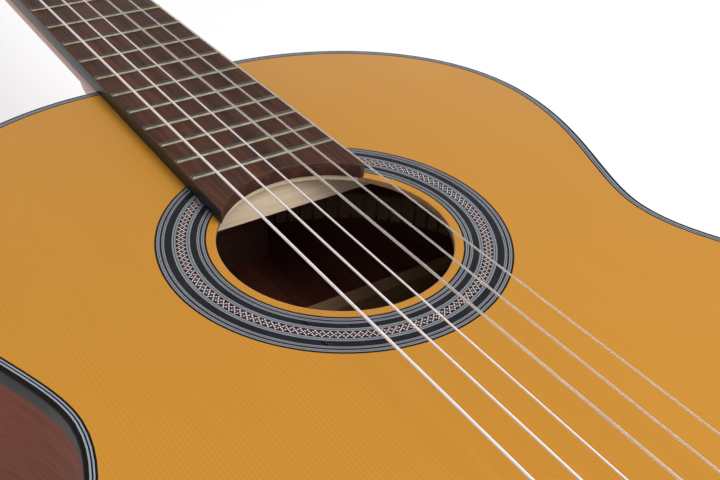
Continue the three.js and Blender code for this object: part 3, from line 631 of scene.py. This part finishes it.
def makeShell():
    low, high = bodyShape["bindingHeight"], bodyShape["depth"] - bodyShape["bindingHeight"]
    wide = bodyShape["ribThickness"]
    for side, name in ((-1, "bass"), (1, "treble")):
        rib = bodyBand(0, wide, low, high)
        cutFlat(rib, spot(side * bodyShape["tailStripHalf"], 0, 0), (side, 0, 0))
        gap = bodyShape["heelGapHalf"]  # the ribs stop at the heel
        boolean(rib, addBox((-gap, 315, low - 1), (gap, 330, high + 1)))
        finishPiece(rib, "rib_shell_" + name, looks["ribs"], replaces=["rib_" + name])
    tail = bodyShape["tailStripHalf"]
    strip = addBox((-tail, -162, low), (tail, -162 + wide, high))
    finishPiece(strip, "tail_strip", looks["black"])
    backEdge, lineWidth = bodyShape["bindingBack"], bodyShape["backLine"]
    binding = bodyBand(0, backEdge, 0, low)
    roundOuterRim(binding, 0, bodyShape["backRound"], 4)
    finishPiece(binding, "edge_binding_back", looks["edge"], replaces=["back_binding"])
    line = bodyBand(backEdge, backEdge + lineWidth, 0, 2 * lineWidth)
    finishPiece(line, "edge_line_back", looks["pale"])
    back = bodyBand(backEdge + lineWidth, None, 0, bodyShape["backThickness"])
    finishPiece(back, "back_plate", looks["body"], replaces=["back"])


makeShell()
print("ribs and back ready")


board = {
    "nutHalf": 26.0,
    "jointHalf": 30.8,
    "jointY": 325.0,
    "scale": 650.0,
    "thickness": 6.0,
    "frets": 18,
    "crownWidth": 2.75,
    "crownHeight": 1.1,
    "edgeRound": 0.3,
    "overHole": 1.3,
    "trebleTip": 29.1,  # the treble corner, a little short of the bass corner, measured from the hole's middle
}


def boardHalf(y):
    share = (y - board["jointY"]) / (board["scale"] - board["jointY"])
    return board["jointHalf"] + (board["nutHalf"] - board["jointHalf"]) * share


def fretY(number):
    return board["scale"] * 2 ** (-number / 12)


def makeFingerboard():
    near, far = holeY + 10, board["scale"]
    piece = addBox((-1, near, topZ), (1, far, topZ + board["thickness"]))
    for v in piece.data.vertices:  # taper: each corner goes out to the edge line
        y = near if v.co.y < spot(0, (near + far) / 2, 0).y else far
        v.co.x = math.copysign(boardHalf(y) * mm, v.co.x)
    boolean(piece, addRod(rosette["holeRadius"] - board["overHole"], (0, holeY, topZ - 3),
                          (0, holeY, topZ + 12), rosette["sides"]))
    tipY = holeY + board["trebleTip"]
    boolean(piece, addBox((20, tipY - 12, topZ - 3), (40, tipY, topZ + 12)))
    roundEdges(piece, board["edgeRound"], 3, 40)
    finishPiece(piece, "fingerboard_wood", looks["board"], replaces=["fingerboard"])
    # painted shade on the long sides of the fingerboard
    piece.data.materials.append(looks["shadedSides"])
    for face in piece.data.polygons:
        side = boardHalf((face.center.y - saddleY) / mm) * mm
        if abs(face.normal.x) > 0.8 and abs(face.center.x) > side * 0.995:  # the long sides, painted near black as painted shade
            face.material_index = 1


def makeFrets():
    top = topZ + board["thickness"]
    for number in range(1, board["frets"] + 1):
        y = fretY(number)
        half = boardHalf(y) - 0.15
        wire = addRod(1, (-half, y, top), (half, y, top), 32)
        cutFlat(wire, spot(0, y, top), (0, 0, 1))
        editAll(wire)
        bpy.ops.transform.resize(value=(1, board["crownWidth"] / 2, board["crownHeight"]),
                                 center_override=spot(0, y, top))
        setMode("OBJECT")
        for v in wire.data.vertices:  # the ends are filed back towards the top
            over = (v.co.z / mm - top) / board["crownHeight"]
            v.co.x -= math.copysign(0.7 * over * mm, v.co.x)
        roundEdges(wire, 0.12, 2, 50)
        tang = addBox((-half + 0.1, y - 0.3, top - 2), (half - 0.1, y + 0.3, top + 0.2))
        piece = join([wire, tang])
        name = "fret_%02d" % number
        finishPiece(piece, "fret_wire_%02d" % number, looks["frets"], replaces=[name])


makeFingerboard()
makeFrets()
print("fingerboard and frets ready")


bridge = {
    "length": 188,
    "front": 6.5,
    "back": -22.5,
    "wingHeight": 3.4,
    "middleLength": 84,
    "middleHeight": 9,
    "tieFront": -10.5,
    "saddleWallBack": -3.5,
    "saddleThickness": 2.6,
    "saddleLength": 80,
    "saddleTop": 13.2,
    "holeHeight": 5,
    "holeRadius": 1.1,
}

strings = {
    # string 6 first: radius, place across at the saddle, place across at the nut
    "set": [(0.54, -28.3, -20.9), (0.45, -17.1, -12.2), (0.37, -6.5, -3.7),
            (0.51, 5.8, 5.0), (0.41, 17.3, 13.5), (0.36, 28.7, 22.0)],
    "restAtSaddle": 13.3,
    "restAtNut": 7.9,
    "nutBack": 655,
    "windings": 4,
}


def makeBridge():
    b = bridge
    half = b["length"] / 2
    wings = addBox((-half, b["back"], topZ), (half, b["front"], topZ + b["wingHeight"]))
    roundTop(wings, topZ + b["wingHeight"], 1.6, 5)
    mid = b["middleLength"] / 2
    middle = addBox((-mid, b["back"] + 0.01, topZ + 0.5), (mid, b["front"] - 0.3, topZ + b["middleHeight"]))
    roundTop(middle, topZ + b["middleHeight"], 0.9, 3)
    boolean(middle, addBox((-mid - 5, b["tieFront"], topZ + 3.8), (mid + 5, b["saddleWallBack"], topZ + 20)))
    whole = boolean(wings, middle, "UNION")
    slot = b["saddleThickness"] / 2 + 0.05
    end = b["saddleLength"] / 2
    boolean(whole, addBox((-end - 0.1, -slot, topZ + 5), (end + 0.1, slot, topZ + 20)))
    z = topZ + b["holeHeight"]
    boolean(whole, join([addRod(b["holeRadius"], (x, b["back"] - 2, z), (x, b["tieFront"] + 2, z), 20)
                         for _, x, _ in strings["set"]]))
    finishPiece(whole, "bridge_wood", looks["bridge"], replaces=["bridge"])
    saddle = addBox((-end, -slot + 0.05, topZ + 5), (end, slot - 0.05, topZ + b["saddleTop"]))
    roundTop(saddle, topZ + b["saddleTop"], 0.85, 4)
    finishPiece(saddle, "saddle_bone", looks["bone"], replaces=["saddle"])
    z = topZ + b["middleHeight"]
    strips = [addBox((-mid + 0.9, y, z - 0.6), (mid - 0.9, y + 1.4, z + 0.12))
              for y in (b["back"] + 1.1, b["tieFront"] - 2.3)]
    for strip in strips:
        roundEdges(strip, 0.1, 2)
    finishPiece(join(strips), "tie_block_trim", looks["bone"])
    nut = addBox((-board["nutHalf"], board["scale"], topZ), (board["nutHalf"], strings["nutBack"], topZ + 8.6))
    for v in nut.data.vertices:  # the top falls towards the head
        if v.co.z > spot(0, 0, topZ + 5).z and v.co.y > spot(0, 652, 0).y:
            v.co.z -= 1.2 * mm
    roundEdges(nut, 0.35, 3)
    z = topZ + strings["restAtNut"]
    boolean(nut, join([addRod(radius + 0.06, (x, 648, z + radius), (x, 657, z + radius), 20)
                       for radius, _, x in strings["set"]]))
    finishPiece(nut, "nut_bone", looks["bone"], replaces=["nut"])


makeBridge()
print("bridge, saddle and nut ready")


head = {
    "start": 655,
    "tilt": 14,
    "thickness": 20,
    "veneer": 2.0,
    # treble half of its outline: (point, handle before, handle after)
    "half": [
        ((26, -6), (26, -6), (26, -3)),
        ((26, 4), (26, 1), (26.7, 9.3)),
        ((37, 20), (30.3, 14.7), (36, 69)),
        ((34, 168), (35, 119), (32, 176)),
        ((20, 181), (27.3, 180.3), (14.7, 181.7)),
        ((0, 190), (4, 184.7), (-4, 184.7)),
    ],
    "slotMiddle": 15.25,
    "slotWidth": 15.5,
    "slotStart": 29,
    "slotEnd": 143,
    "axis": -10,  # height of the rollers' axes from the head's face
    "rollers": (50, 85, 120),
    "rollerRadius": 5,
    "rollerInner": 2.0,
    "seat": 34.669,
}


def tiltHead(piece):
    # turns a piece made flat onto the tilted head
    pivot = spot(0, head["start"], topZ)
    turn = Matrix.Rotation(-math.radians(head["tilt"]), 4, "X")
    piece.matrix_world = Matrix.Translation(pivot) @ turn @ Matrix.Translation(-pivot) @ piece.matrix_world
    return bake(piece)


def onHead(x, along, z):
    # a place in the head's own frame, before it is tilted
    return (x, head["start"] + along, topZ + z)


def rodAcross(radius, x0, x1, along, sides=32):
    # a round bar along x at the height of the rollers' axes
    return addRod(radius, onHead(x0, along, head["axis"]), onHead(x1, along, head["axis"]), sides)


def rodUpright(radius, x, along, z0, z1, sides=32):
    # a round bar square to the head's face, with heights from the rollers' axes
    return addRod(radius, onHead(x, along, head["axis"] + z0), onHead(x, along, head["axis"] + z1), sides)


neck = {
    "depthAtNut": 15.5,
    "depthAtHeel": 18.5,
    "footHalf": 13,
    "footReach": 19,
    "reach": 72,
}


def roundPower(value, power):
    return math.copysign(abs(value) ** power, value)


def shaftPoint(u, v):
    n = neck
    y = board["jointY"] + v * (strings["nutBack"] + 2 - board["jointY"])
    half = boardHalf(min(y, strings["nutBack"]))
    depth = n["depthAtHeel"] + (n["depthAtNut"] - n["depthAtHeel"]) * v
    swell = max(0.0, (y - 622) / 33)
    depth += 4.2 * swell * swell * (3 - 2 * swell) if swell < 1 else 4.2
    if u < 0.8:
        angle = math.pi * (1 + u / 0.8)
        return (half * roundPower(math.cos(angle), 0.8), y, topZ + depth * math.sin(angle))
    return (half * (1 - 2 * (u - 0.8) / 0.2), y, topZ)


def footSection(u, half, reach):
    # a D-shaped section: the round side for most of u, then the flat side against the body
    if u < 0.85:
        angle = math.pi * (1 - u / 0.85)
        return half * roundPower(math.cos(angle), 0.8), board["jointY"] + reach * (0.1 + 0.9 * math.sin(angle))
    return half * (1 - 2 * (u - 0.85) / 0.15), board["jointY"]


def heelPoint(u, v):
    n = neck
    depth = (topZ - 0.5) * (1 - v) + 3 * v
    rise = 1 - depth / topZ
    half = n["footHalf"] + (board["jointHalf"] - n["footHalf"]) * rise ** 1.7
    low = max(0.0, (depth - n["depthAtHeel"]) / (topZ - n["depthAtHeel"]))
    sweep = 1 - math.sqrt(max(0.0, 1 - (1 - low) ** 2))
    reach = n["footReach"] + (n["reach"] - n["footReach"]) * (sweep if low > 0 else 1)
    return (*footSection(u, half, reach), topZ - depth)


def makeNeck():
    shaft = shapedTube(61, 49, shaftPoint, "neck_wood")
    heel = shapedTube(61, 65, heelPoint, "heel")
    boolean(shaft, heel, "UNION")
    blank = closedOutline(mirroredKnots(head["half"]), topZ - head["thickness"], 10)
    bpy.ops.transform.translate(value=(0, head["start"] * mm, 0))
    selectMesh("SELECT")
    bpy.ops.mesh.extrude_region_move(TRANSFORM_OT_translate={"value": (0, 0, head["thickness"] * mm)})
    outwards(blank)
    roundEdges(blank, 0.8, 3, 60)
    tools = []
    for side in (-1, 1):
        mid = side * head["slotMiddle"]
        r = head["slotWidth"] / 2
        slot = addBox(onHead(mid - r, head["slotStart"], -30), onHead(mid + r, head["slotEnd"], 5))
        roundCorners(slot, r * 0.98)
        tools.append(slot)
        seatLow, seatHigh = head["rollers"][0] - 16, head["rollers"][2] + 16
        near, far = sorted((side * head["seat"], side * 42))
        tools.append(addBox(onHead(near, seatLow, -30), onHead(far, seatHigh, 5)))
        for along in head["rollers"]:
            near, far = sorted((side * (head["rollerInner"] - 0.3), side * 45))
            tools.append(rodAcross(head["rollerRadius"] + 0.35, near, far, along))
    for tool in tools:
        boolean(blank, tool)
    face = copyOf(blank)
    seam = (0, 0, (topZ - head["veneer"]) * mm)
    cutFlat(blank, seam, (0, 0, 1), keepLow=True)
    cutFlat(face, seam, (0, 0, 1))
    tiltHead(blank)
    tiltHead(face)
    boolean(face, addBox((-60, 600, topZ - 30), (60, strings["nutBack"], topZ + 30)))
    boolean(blank, addBox((-60, 600, topZ), (60, strings["nutBack"] + 1, topZ + 30)))
    boolean(shaft, blank, "UNION")
    finishPiece(shaft, "neck_wood", looks["neck"], replaces=["neck"], angle=38)
    finishPiece(face, "head_veneer", looks["board"], angle=38)
    cap = shapedTube(49, 3, capPoint, "heel_cap")
    finishPiece(cap, "heel_cap", looks["body"], angle=38)


def capPoint(u, v):
    return (*footSection(u, neck["footHalf"], neck["footReach"]), 0.02 + v * 0.48)


def copyOf(piece):
    pick(piece)
    bpy.ops.object.duplicate()
    return bpy.context.object


def roundCorners(piece, width):
    # rounds the upright edges of a box
    roundChosen(piece, width, 10, lambda a, b: abs(a.x - b.x) < 1e-6 and abs(a.y - b.y) < 1e-6)


makeNeck()
print("neck and head ready")


def tube(points, radius, name, sides=3, smoothness=8):
    # a round cord through points: (place, "bend") for smooth ones or (place, "corner")
    deselect()
    bpy.ops.curve.primitive_bezier_curve_add(location=(0, 0, 0))
    curve = bpy.context.object
    spline = curve.data.splines[0]
    spline.bezier_points.add(len(points) - 2)
    for knot, (place, kind) in zip(spline.bezier_points, points):
        knot.co = place
        knot.handle_left_type = knot.handle_right_type = "AUTO" if kind == "bend" else "VECTOR"
    data = curve.data
    data.dimensions = "3D"
    data.resolution_u = smoothness
    data.bevel_depth = radius * mm
    data.bevel_resolution = sides
    data.use_fill_caps = True
    bpy.ops.object.convert(target="MESH")
    piece = outwards(bpy.context.object)
    piece.name = name
    return piece


def headPoint(x, along, z):
    pivot = spot(0, head["start"], topZ)
    turn = Matrix.Rotation(-math.radians(head["tilt"]), 3, "X")
    return pivot + turn @ (spot(*onHead(x, along, z)) - pivot)


def makeStrings():
    b = bridge
    for index, (r, atSaddle, atNut) in enumerate(strings["set"]):
        number = 6 - index
        side = -1 if index < 3 else 1
        along = head["rollers"][index if index < 3 else 5 - index]
        top = topZ + b["middleHeight"] + r + 0.15
        x = atSaddle
        front, back, z = b["tieFront"] + r, b["back"], topZ + b["holeHeight"]
        nutZ = topZ + strings["restAtNut"] + r
        loop = [  # round the tie block, through its hole, over the saddle and to the nut
            (x - 1.3, back - 1.9, topZ + 6.9),
            (x - 1.4, back + 0.6, top + 0.05),
            (x - 1.6, b["tieFront"] - 0.8, top),
            (x - 1.5, front + 0.5, topZ + 7.0),
            (x, front + 0.9, topZ + 4.6),
            (x + 1.4, front + 0.5, topZ + 7.0),
            (x + 1.2, b["tieFront"] - 0.8, top),
            (x + 0.7, back + 0.6, top),
            (x + 0.3, back - r - 1.1, topZ + 7.0),
            (x, back - 0.2, z),
        ]
        line = [
            (x, b["tieFront"] - 0.5, z),
            (x, 0.45, topZ + strings["restAtSaddle"] + r),
            (atNut, board["scale"], nutZ),
            (atNut, strings["nutBack"] + r, nutZ),
        ]
        points = [(spot(*place), "bend") for place in loop] + [(spot(*place), "corner") for place in line]
        contact = headPoint(side * head["slotMiddle"], along, head["axis"] + head["rollerRadius"] + r + 0.05)
        points.append((contact, "corner"))
        look = "wound" if index < 3 else "nylon"
        finishPiece(tube(points, r, "string"), "string_line_%d" % number, looks[look],
                    replaces=["string_%d" % number], angle=60)
        # turns wound on the roller
        turns = []
        steps = 12
        for k in range(strings["windings"] * steps + 5):
            angle = 2 * math.pi * k / steps
            reach = head["rollerRadius"] + r + 0.05
            shift = side * (head["slotMiddle"] - (2 * r + 0.06) * k / steps)
            place = headPoint(shift, along + reach * math.sin(angle), head["axis"] + reach * math.cos(angle))
            turns.append((place, "bend"))
        finishPiece(tube(turns, r, "coil", 2, 3), "string_coil_%d" % number, looks[look],
                    body="roller_%d" % number, angle=60)


makeStrings()
print("strings ready")


tuner = {
    "plateThickness": 1.2,
    "plateHalfHeight": 8.5,
    "teeth": 14,
    "gearPitchRadius": 5.5,
    "gearThickness": 3.4,
    "wormPitchRadius": 3,
    "toothHeight": 0.75,
    "toothClearance": 0.34,
    "wormLength": 8.6,
    "wormOffset": 4.4,
    "postThickness": 1.6,
    "postWidth": 7,
    "shaftRadius": 1.5,
    "axleRadius": 2.5,
    "buttonHeight": 15,
    "buttonWidth": 19,
    "buttonThickness": 10,
}
meshDistance = tuner["gearPitchRadius"] + tuner["wormPitchRadius"]
gearPlace = head["seat"] + tuner["plateThickness"] + tuner["wormOffset"]


def makeGear(x, along):
    t = tuner
    lean = 1 / (t["teeth"] * t["wormPitchRadius"])  # the teeth slope with the worm's thread

    def gearPoint(u, v):
        angle = 2 * math.pi * u
        r = t["gearPitchRadius"] - t["toothClearance"] - t["toothHeight"] * math.cos(t["teeth"] * angle)
        across = (v - 0.5) * t["gearThickness"]
        turned = angle + across * lean
        return onHead(x + across, along + r * math.cos(turned), head["axis"] + r * math.sin(turned))

    return shapedTube(t["teeth"] * 8 + 1, 3, gearPoint, "gear")


def makeWorm(x, along):
    t = tuner
    pitch = 2 * math.pi * t["gearPitchRadius"] / t["teeth"]

    def wormPoint(u, v):
        angle = 2 * math.pi * u
        height = (v - 0.5) * t["wormLength"]
        r = t["wormPitchRadius"] + t["toothHeight"] * math.cos(2 * math.pi * height / pitch - angle - math.pi / 2)
        return onHead(x + r * math.cos(angle), along + r * math.sin(angle), head["axis"] + height)

    return shapedTube(33, 61, wormPoint, "worm")


def slottedScrew(x, along, z, radius, outward):
    # a domed screw head on a face that looks along x
    screw = addRod(radius, onHead(x - outward * 0.3, along, z), onHead(x + outward * 0.8, along, z), 32)
    roundEdges(screw, 0.25, 3, 60)
    low, high = sorted((x + outward * 0.45, x + outward * 2))
    boolean(screw, addBox(onHead(low, along - 0.28, z - radius - 1), onHead(high, along + 0.28, z + radius + 1)))
    return screw


def makePlate(side, name):
    t = tuner
    face = head["seat"] + t["plateThickness"]
    near, far = sorted((side * (head["seat"] + 0.02), side * face))
    ends = (head["rollers"][0] - 15, head["rollers"][2] + 15 + meshDistance - 6)
    plate = addBox(onHead(near, ends[0], head["axis"] - t["plateHalfHeight"]),
                   onHead(far, ends[1], head["axis"] + t["plateHalfHeight"]))
    roundPlateCorners(plate, 2.5)
    for along in head["rollers"]:
        low, high = sorted((side * (head["seat"] - 1), side * (face + 1)))
        boolean(plate, rodAcross(t["axleRadius"] + 0.4, low, high, along, 24))
    roundEdges(plate, 0.3, 2, 50)
    parts = [plate]
    for along in head["rollers"]:
        for way in (-1, 1):
            start = t["wormLength"] / 2 + 0.3
            z0, z1 = sorted((way * start, way * (start + t["postThickness"])))
            low, high = sorted((side * (head["seat"] + 0.4), side * (gearPlace + t["postWidth"] / 2)))
            middle = along + meshDistance
            ear = addBox(onHead(low, middle - t["postWidth"] / 2, head["axis"] + z0),
                         onHead(high, middle + t["postWidth"] / 2, head["axis"] + z1))
            roundEarEnd(ear, side, gearPlace)
            boolean(ear, rodUpright(t["shaftRadius"] + 0.08, side * gearPlace, middle, z0 - 1, z1 + 1, 24))
            roundEdges(ear, 0.2, 2, 50)
            parts.append(ear)
    spots = [(ends[0] + 4, 5.5), (ends[0] + 4, -5.5), (ends[1] - 4, 5.5), (ends[1] - 4, -5.5)]
    spots += [(along - 11, 0) for along in head["rollers"][1:]]
    screws = [slottedScrew(side * face, along, head["axis"] + z, 1.7, side) for along, z in spots]
    finishPiece(tiltHead(join(parts)), "tuner_frame_" + name, looks["brass"],
                replaces=["tuner_plate_" + name], angle=40)
    finishPiece(tiltHead(join(screws)), "tuner_screws_" + name, looks["steel"], angle=40)


def roundPlateCorners(piece, width):
    # rounds the edges that run through the plate
    roundChosen(piece, width, 6, lambda a, b: abs(a.y - b.y) < 1e-6 and abs(a.z - b.z) < 1e-6)


def roundEarEnd(piece, side, x):
    # rounds the upright edges at the free end of a post
    roundChosen(piece, 3.3, 8, lambda a, b: abs(a.x - b.x) < 1e-6 and abs(a.y - b.y) < 1e-6 and side * a.x > x * mm)


def makeTuner(side, along, number):
    t = tuner
    body = "roller_%d" % number
    inner, wall = head["rollerInner"], head["seat"] - 0.3
    barrel = rodAcross(head["rollerRadius"], side * inner, side * wall, along, 48)
    roundEdges(barrel, 0.4, 3, 50)
    boolean(barrel, rodUpright(0.9, side * 11.5, along, -8, 8, 16))  # the string's hole
    finishPiece(tiltHead(barrel), "roller_barrel_%d" % number, looks["bone"], body=body,
                replaces=["roller_%d" % number], angle=40)
    gear = makeGear(side * gearPlace, along)
    low, high = side * (wall - 1), side * (gearPlace + t["gearThickness"] / 2 + 0.3)
    boolean(gear, rodAcross(t["axleRadius"], low, high, along), "UNION")
    finishPiece(tiltHead(gear), "roller_gear_%d" % number, looks["brass"], body=body, angle=35)
    screw = slottedScrew(side * (gearPlace + t["gearThickness"] / 2), along, head["axis"], 2.2, side)
    finishPiece(tiltHead(screw), "roller_screw_%d" % number, looks["steel"], body=body, angle=40)

    body = "knob_%d" % number
    x, middle = side * gearPlace, along + meshDistance
    worm = makeWorm(x, middle)
    end = t["wormLength"] / 2 + 0.3 + t["postThickness"]
    spindle = rodUpright(t["shaftRadius"], x, middle, -end - 14, end + 0.6)
    collar = rodUpright(2.6, x, middle, -end - 1.9, -end - 0.3)
    roundEdges(collar, 0.3, 3, 60)
    ferrule = shapedTube(33, 13, lambda u, v: ferrulePoint(u, v, x, middle, head["axis"] - end - 1.5), "ferrule")
    for part in (spindle, collar, ferrule):
        boolean(worm, part, "UNION")
    finishPiece(tiltHead(worm), "knob_shaft_%d" % number, looks["brass"], body=body,
                replaces=["knob_%d" % number], angle=40)
    centre = head["axis"] - end - 0.3 - 6 - 8 - t["buttonHeight"] / 2
    button = shapedTube(49, 33, lambda u, v: buttonPoint(u, v, x, middle, centre), "button")
    finishPiece(tiltHead(button), "knob_button_%d" % number, looks["pearl"], body=body, angle=60)


def ferrulePoint(u, v, x, along, top):
    # the turned brass neck above the button
    profile = 2.4 + 0.9 * math.sin(math.pi * min(1, v * 1.1)) ** 2 + 0.7 * v
    angle = 2 * math.pi * u
    return onHead(x + profile * math.cos(angle), along + profile * math.sin(angle), top - 13.2 * v)


def buttonPoint(u, v, x, along, centre):
    # a softly squared oval with flats on its two faces
    t = tuner
    angle = 2 * math.pi * u
    height = -math.cos(math.pi * v)
    around = math.sqrt(max(0.0, 1 - abs(height) ** 2.6))
    if v < 0.001 or v > 0.999:
        around = 0.0
    across = roundPower(math.cos(angle), 0.9) * around * t["buttonThickness"] / 2
    wide = roundPower(math.sin(angle), 0.8) * around * t["buttonWidth"] / 2 * (0.90 - 0.10 * height)
    return onHead(x + across, along + wide, centre + height * t["buttonHeight"] / 2)


def makeTuners():
    for side, name in ((-1, "bass"), (1, "treble")):
        makePlate(side, name)
        for i, along in enumerate(head["rollers"]):
            makeTuner(side, along, 6 - i if side < 0 else 1 + i)


makeTuners()
print("tuners ready")


lining = {
    "inset": 2.1,
    "width": 4.8,
    "web": 0.8,  # the thin strip left whole behind the saw cuts
    "pitch": 7.0,
    "block": 5.9,
    "taper": 3.0,
    "topHeight": 15,
    "backHeight": 13,
    "fromMiddle": 39.6,
}


def sidePath(side, inset):
    # an open curve along one side of the body, so that its left hand is the outside
    bodyOutline()
    bpy.ops.mesh.inset(thickness=inset * mm, use_even_offset=True)
    selectMesh("INVERT")
    bpy.ops.mesh.delete(type="FACE")
    selectMesh("SELECT")
    bpy.ops.mesh.delete(type="ONLY_FACE")
    bpy.ops.mesh.select_mode(type="VERT")
    selectMesh("DESELECT")
    setMode("OBJECT")
    for v in bpy.context.object.data.vertices:
        v.select = side * v.co.x < lining["fromMiddle"] * mm
    setMode("EDIT")
    bpy.ops.mesh.delete(type="VERT")
    setMode("OBJECT")
    bpy.ops.object.convert(target="CURVE")
    path = bpy.context.object
    path.data.dimensions = "3D"
    path.data.twist_mode = "Z_UP"
    points = path.data.splines[0].points
    if (points[0].co.y > points[-1].co.y) != (side > 0):
        setMode("EDIT")
        bpy.ops.curve.select_all(action="SELECT")
        bpy.ops.curve.switch_direction()
        setMode("OBJECT")
    return path


def makeLining(side, name, low, high, free):
    # one block between two saw cuts, then copies along the side
    path = sidePath(side, lining["inset"] + lining["width"] / 2)
    deselect()
    bpy.ops.mesh.primitive_cube_add(size=1, location=(lining["block"] / 2 * mm, 0, (low + high) / 2 * mm))
    blocks = bpy.context.object
    blocks.scale = (lining["block"] * mm, lining["width"] * mm, (high - low) * mm)
    bake(blocks)
    for v in blocks.data.vertices:
        if v.co.y < 0 and abs(v.co.z - free * mm) < 1e-5:
            v.co.y += lining["taper"] * mm
    applyModifier(blocks, "ARRAY", fit_type="FIT_CURVE", curve=path, use_relative_offset=False,
                  use_constant_offset=True, constant_offset_displace=(lining["pitch"] * mm, 0, 0))
    applyModifier(blocks, "CURVE", object=path, deform_axis="POS_X")
    bpy.data.objects.remove(path)
    web = bodyBand(lining["inset"], lining["inset"] + lining["web"], low + 0.02, high - 0.02)
    cutFlat(web, spot(side * lining["fromMiddle"], 0, 0), (side, 0, 0))
    finishPiece(join([blocks, web]), "kerfed_" + name, looks["inner"], replaces=[name])


for side, name in ((-1, "bass"), (1, "treble")):
    under, over = topZ - bodyShape["topThickness"], bodyShape["backThickness"]
    makeLining(side, "top_lining_" + name, under - lining["topHeight"], under, under - lining["topHeight"])
    makeLining(side, "back_lining_" + name, over, over + lining["backHeight"], over + lining["backHeight"])

# the other inner pieces keep their CAD shape and get their finish
# the neck block's dark mahogany is partly its wood and partly painted shade inside the body
innerLooks = {"neck_block": "blocks", "tail_block": "blocks", "upper_harmonic_bar": "bare",
              "lower_harmonic_bar": "inner", "fan_bracing": "inner", "back_bracing": "inner"}
for name, look in innerLooks.items():
    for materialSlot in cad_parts[name].material_slots:
        materialSlot.material = looks[look]
print("inside of the body ready")


studio = {
    "floor": (0.42, 0.42, 0.425),
    "floorGlow": 0.62,
    # the white room's brightness from the horizon up: (height as the sine of the elevation, strength)
    "sky": [(0.0, 0.9), (0.30, 0.9), (0.46, 0.12), (0.75, 0.08), (1.0, 0.3)],
    # soft boxes: name, place, aim, size, watts
    "lights": [
        ("keyBox", (0.75, -1.5, 1.9), (0, 0, 0.1), 1.9, 66),
        ("fillBox", (-1.3, -1.6, 1.9), (0, 0, 0.1), 1.6, 10),
    ],
    "place": (-0.180141, -0.419405, 0.313884),
    "heading": 36.504,
    "pitch": 34.691,
    "roll": 3.905,
    "lens": 52.36,
}


def makeStudio():
    deselect()
    bpy.ops.mesh.primitive_plane_add(size=40, location=(0, 0, -0.0005))
    floor = bpy.context.object
    floor.name = "studio_floor"
    r = Recipe("paleFloor")
    cloud = r.noise(r.coords(), 2, detail=2)
    tone = r.ramp(cloud, (0.3, studio["floor"]), (0.7, tuple(min(1, c * 1.01) for c in studio["floor"])))
    floor.data.materials.append(r.finish(tone, 0.8, Specular_IOR_Level=0.0, Emission_Color=(1, 1, 1, 1),
                                         Emission_Strength=studio["floorGlow"]))
    world = bpy.data.worlds.new("studio")
    bpy.context.scene.world = world
    world.use_nodes = True
    tree = world.node_tree
    direction = tree.nodes.new("ShaderNodeTexCoord")
    parts = tree.nodes.new("ShaderNodeSeparateXYZ")
    fade = tree.nodes.new("ShaderNodeValToRGB")
    while len(fade.color_ramp.elements) < len(studio["sky"]):
        fade.color_ramp.elements.new(0.5)
    for element, (height, strength) in zip(fade.color_ramp.elements, studio["sky"]):
        element.position = height
        element.color = (strength, strength, strength, 1)
    tree.links.new(direction.outputs["Generated"], parts.inputs[0])
    tree.links.new(parts.outputs[2], fade.inputs["Fac"])
    tree.links.new(fade.outputs["Color"], tree.nodes["Background"].inputs["Color"])
    for name, place, aim, size, watts in studio["lights"]:
        bpy.ops.object.light_add(type="AREA", location=place)
        lamp = bpy.context.object
        lamp.name = name
        lamp.data.shape = "SQUARE"
        lamp.data.size = size
        lamp.data.energy = watts
        lamp.rotation_mode = "QUATERNION"
        lamp.rotation_quaternion = (Vector(aim) - Vector(place)).to_track_quat("-Z", "Y")
    bpy.ops.object.camera_add(location=studio["place"])
    camera = bpy.context.object
    camera.name = "viewCamera"
    turn = (Matrix.Rotation(math.radians(-studio["heading"]), 3, "Z")
            @ Matrix.Rotation(math.radians(90 - studio["pitch"]), 3, "X")
            @ Matrix.Rotation(math.radians(studio["roll"]), 3, "Z"))
    camera.rotation_mode = "QUATERNION"
    camera.rotation_quaternion = turn.to_quaternion()
    camera.data.lens = studio["lens"]
    camera.data.sensor_width = 36
    camera.data.clip_start = 0.01
    scene = bpy.context.scene
    scene.camera = camera
    scene.view_settings.view_transform = "Standard"
    scene.view_settings.look = "None"


makeStudio()
print("studio ready")
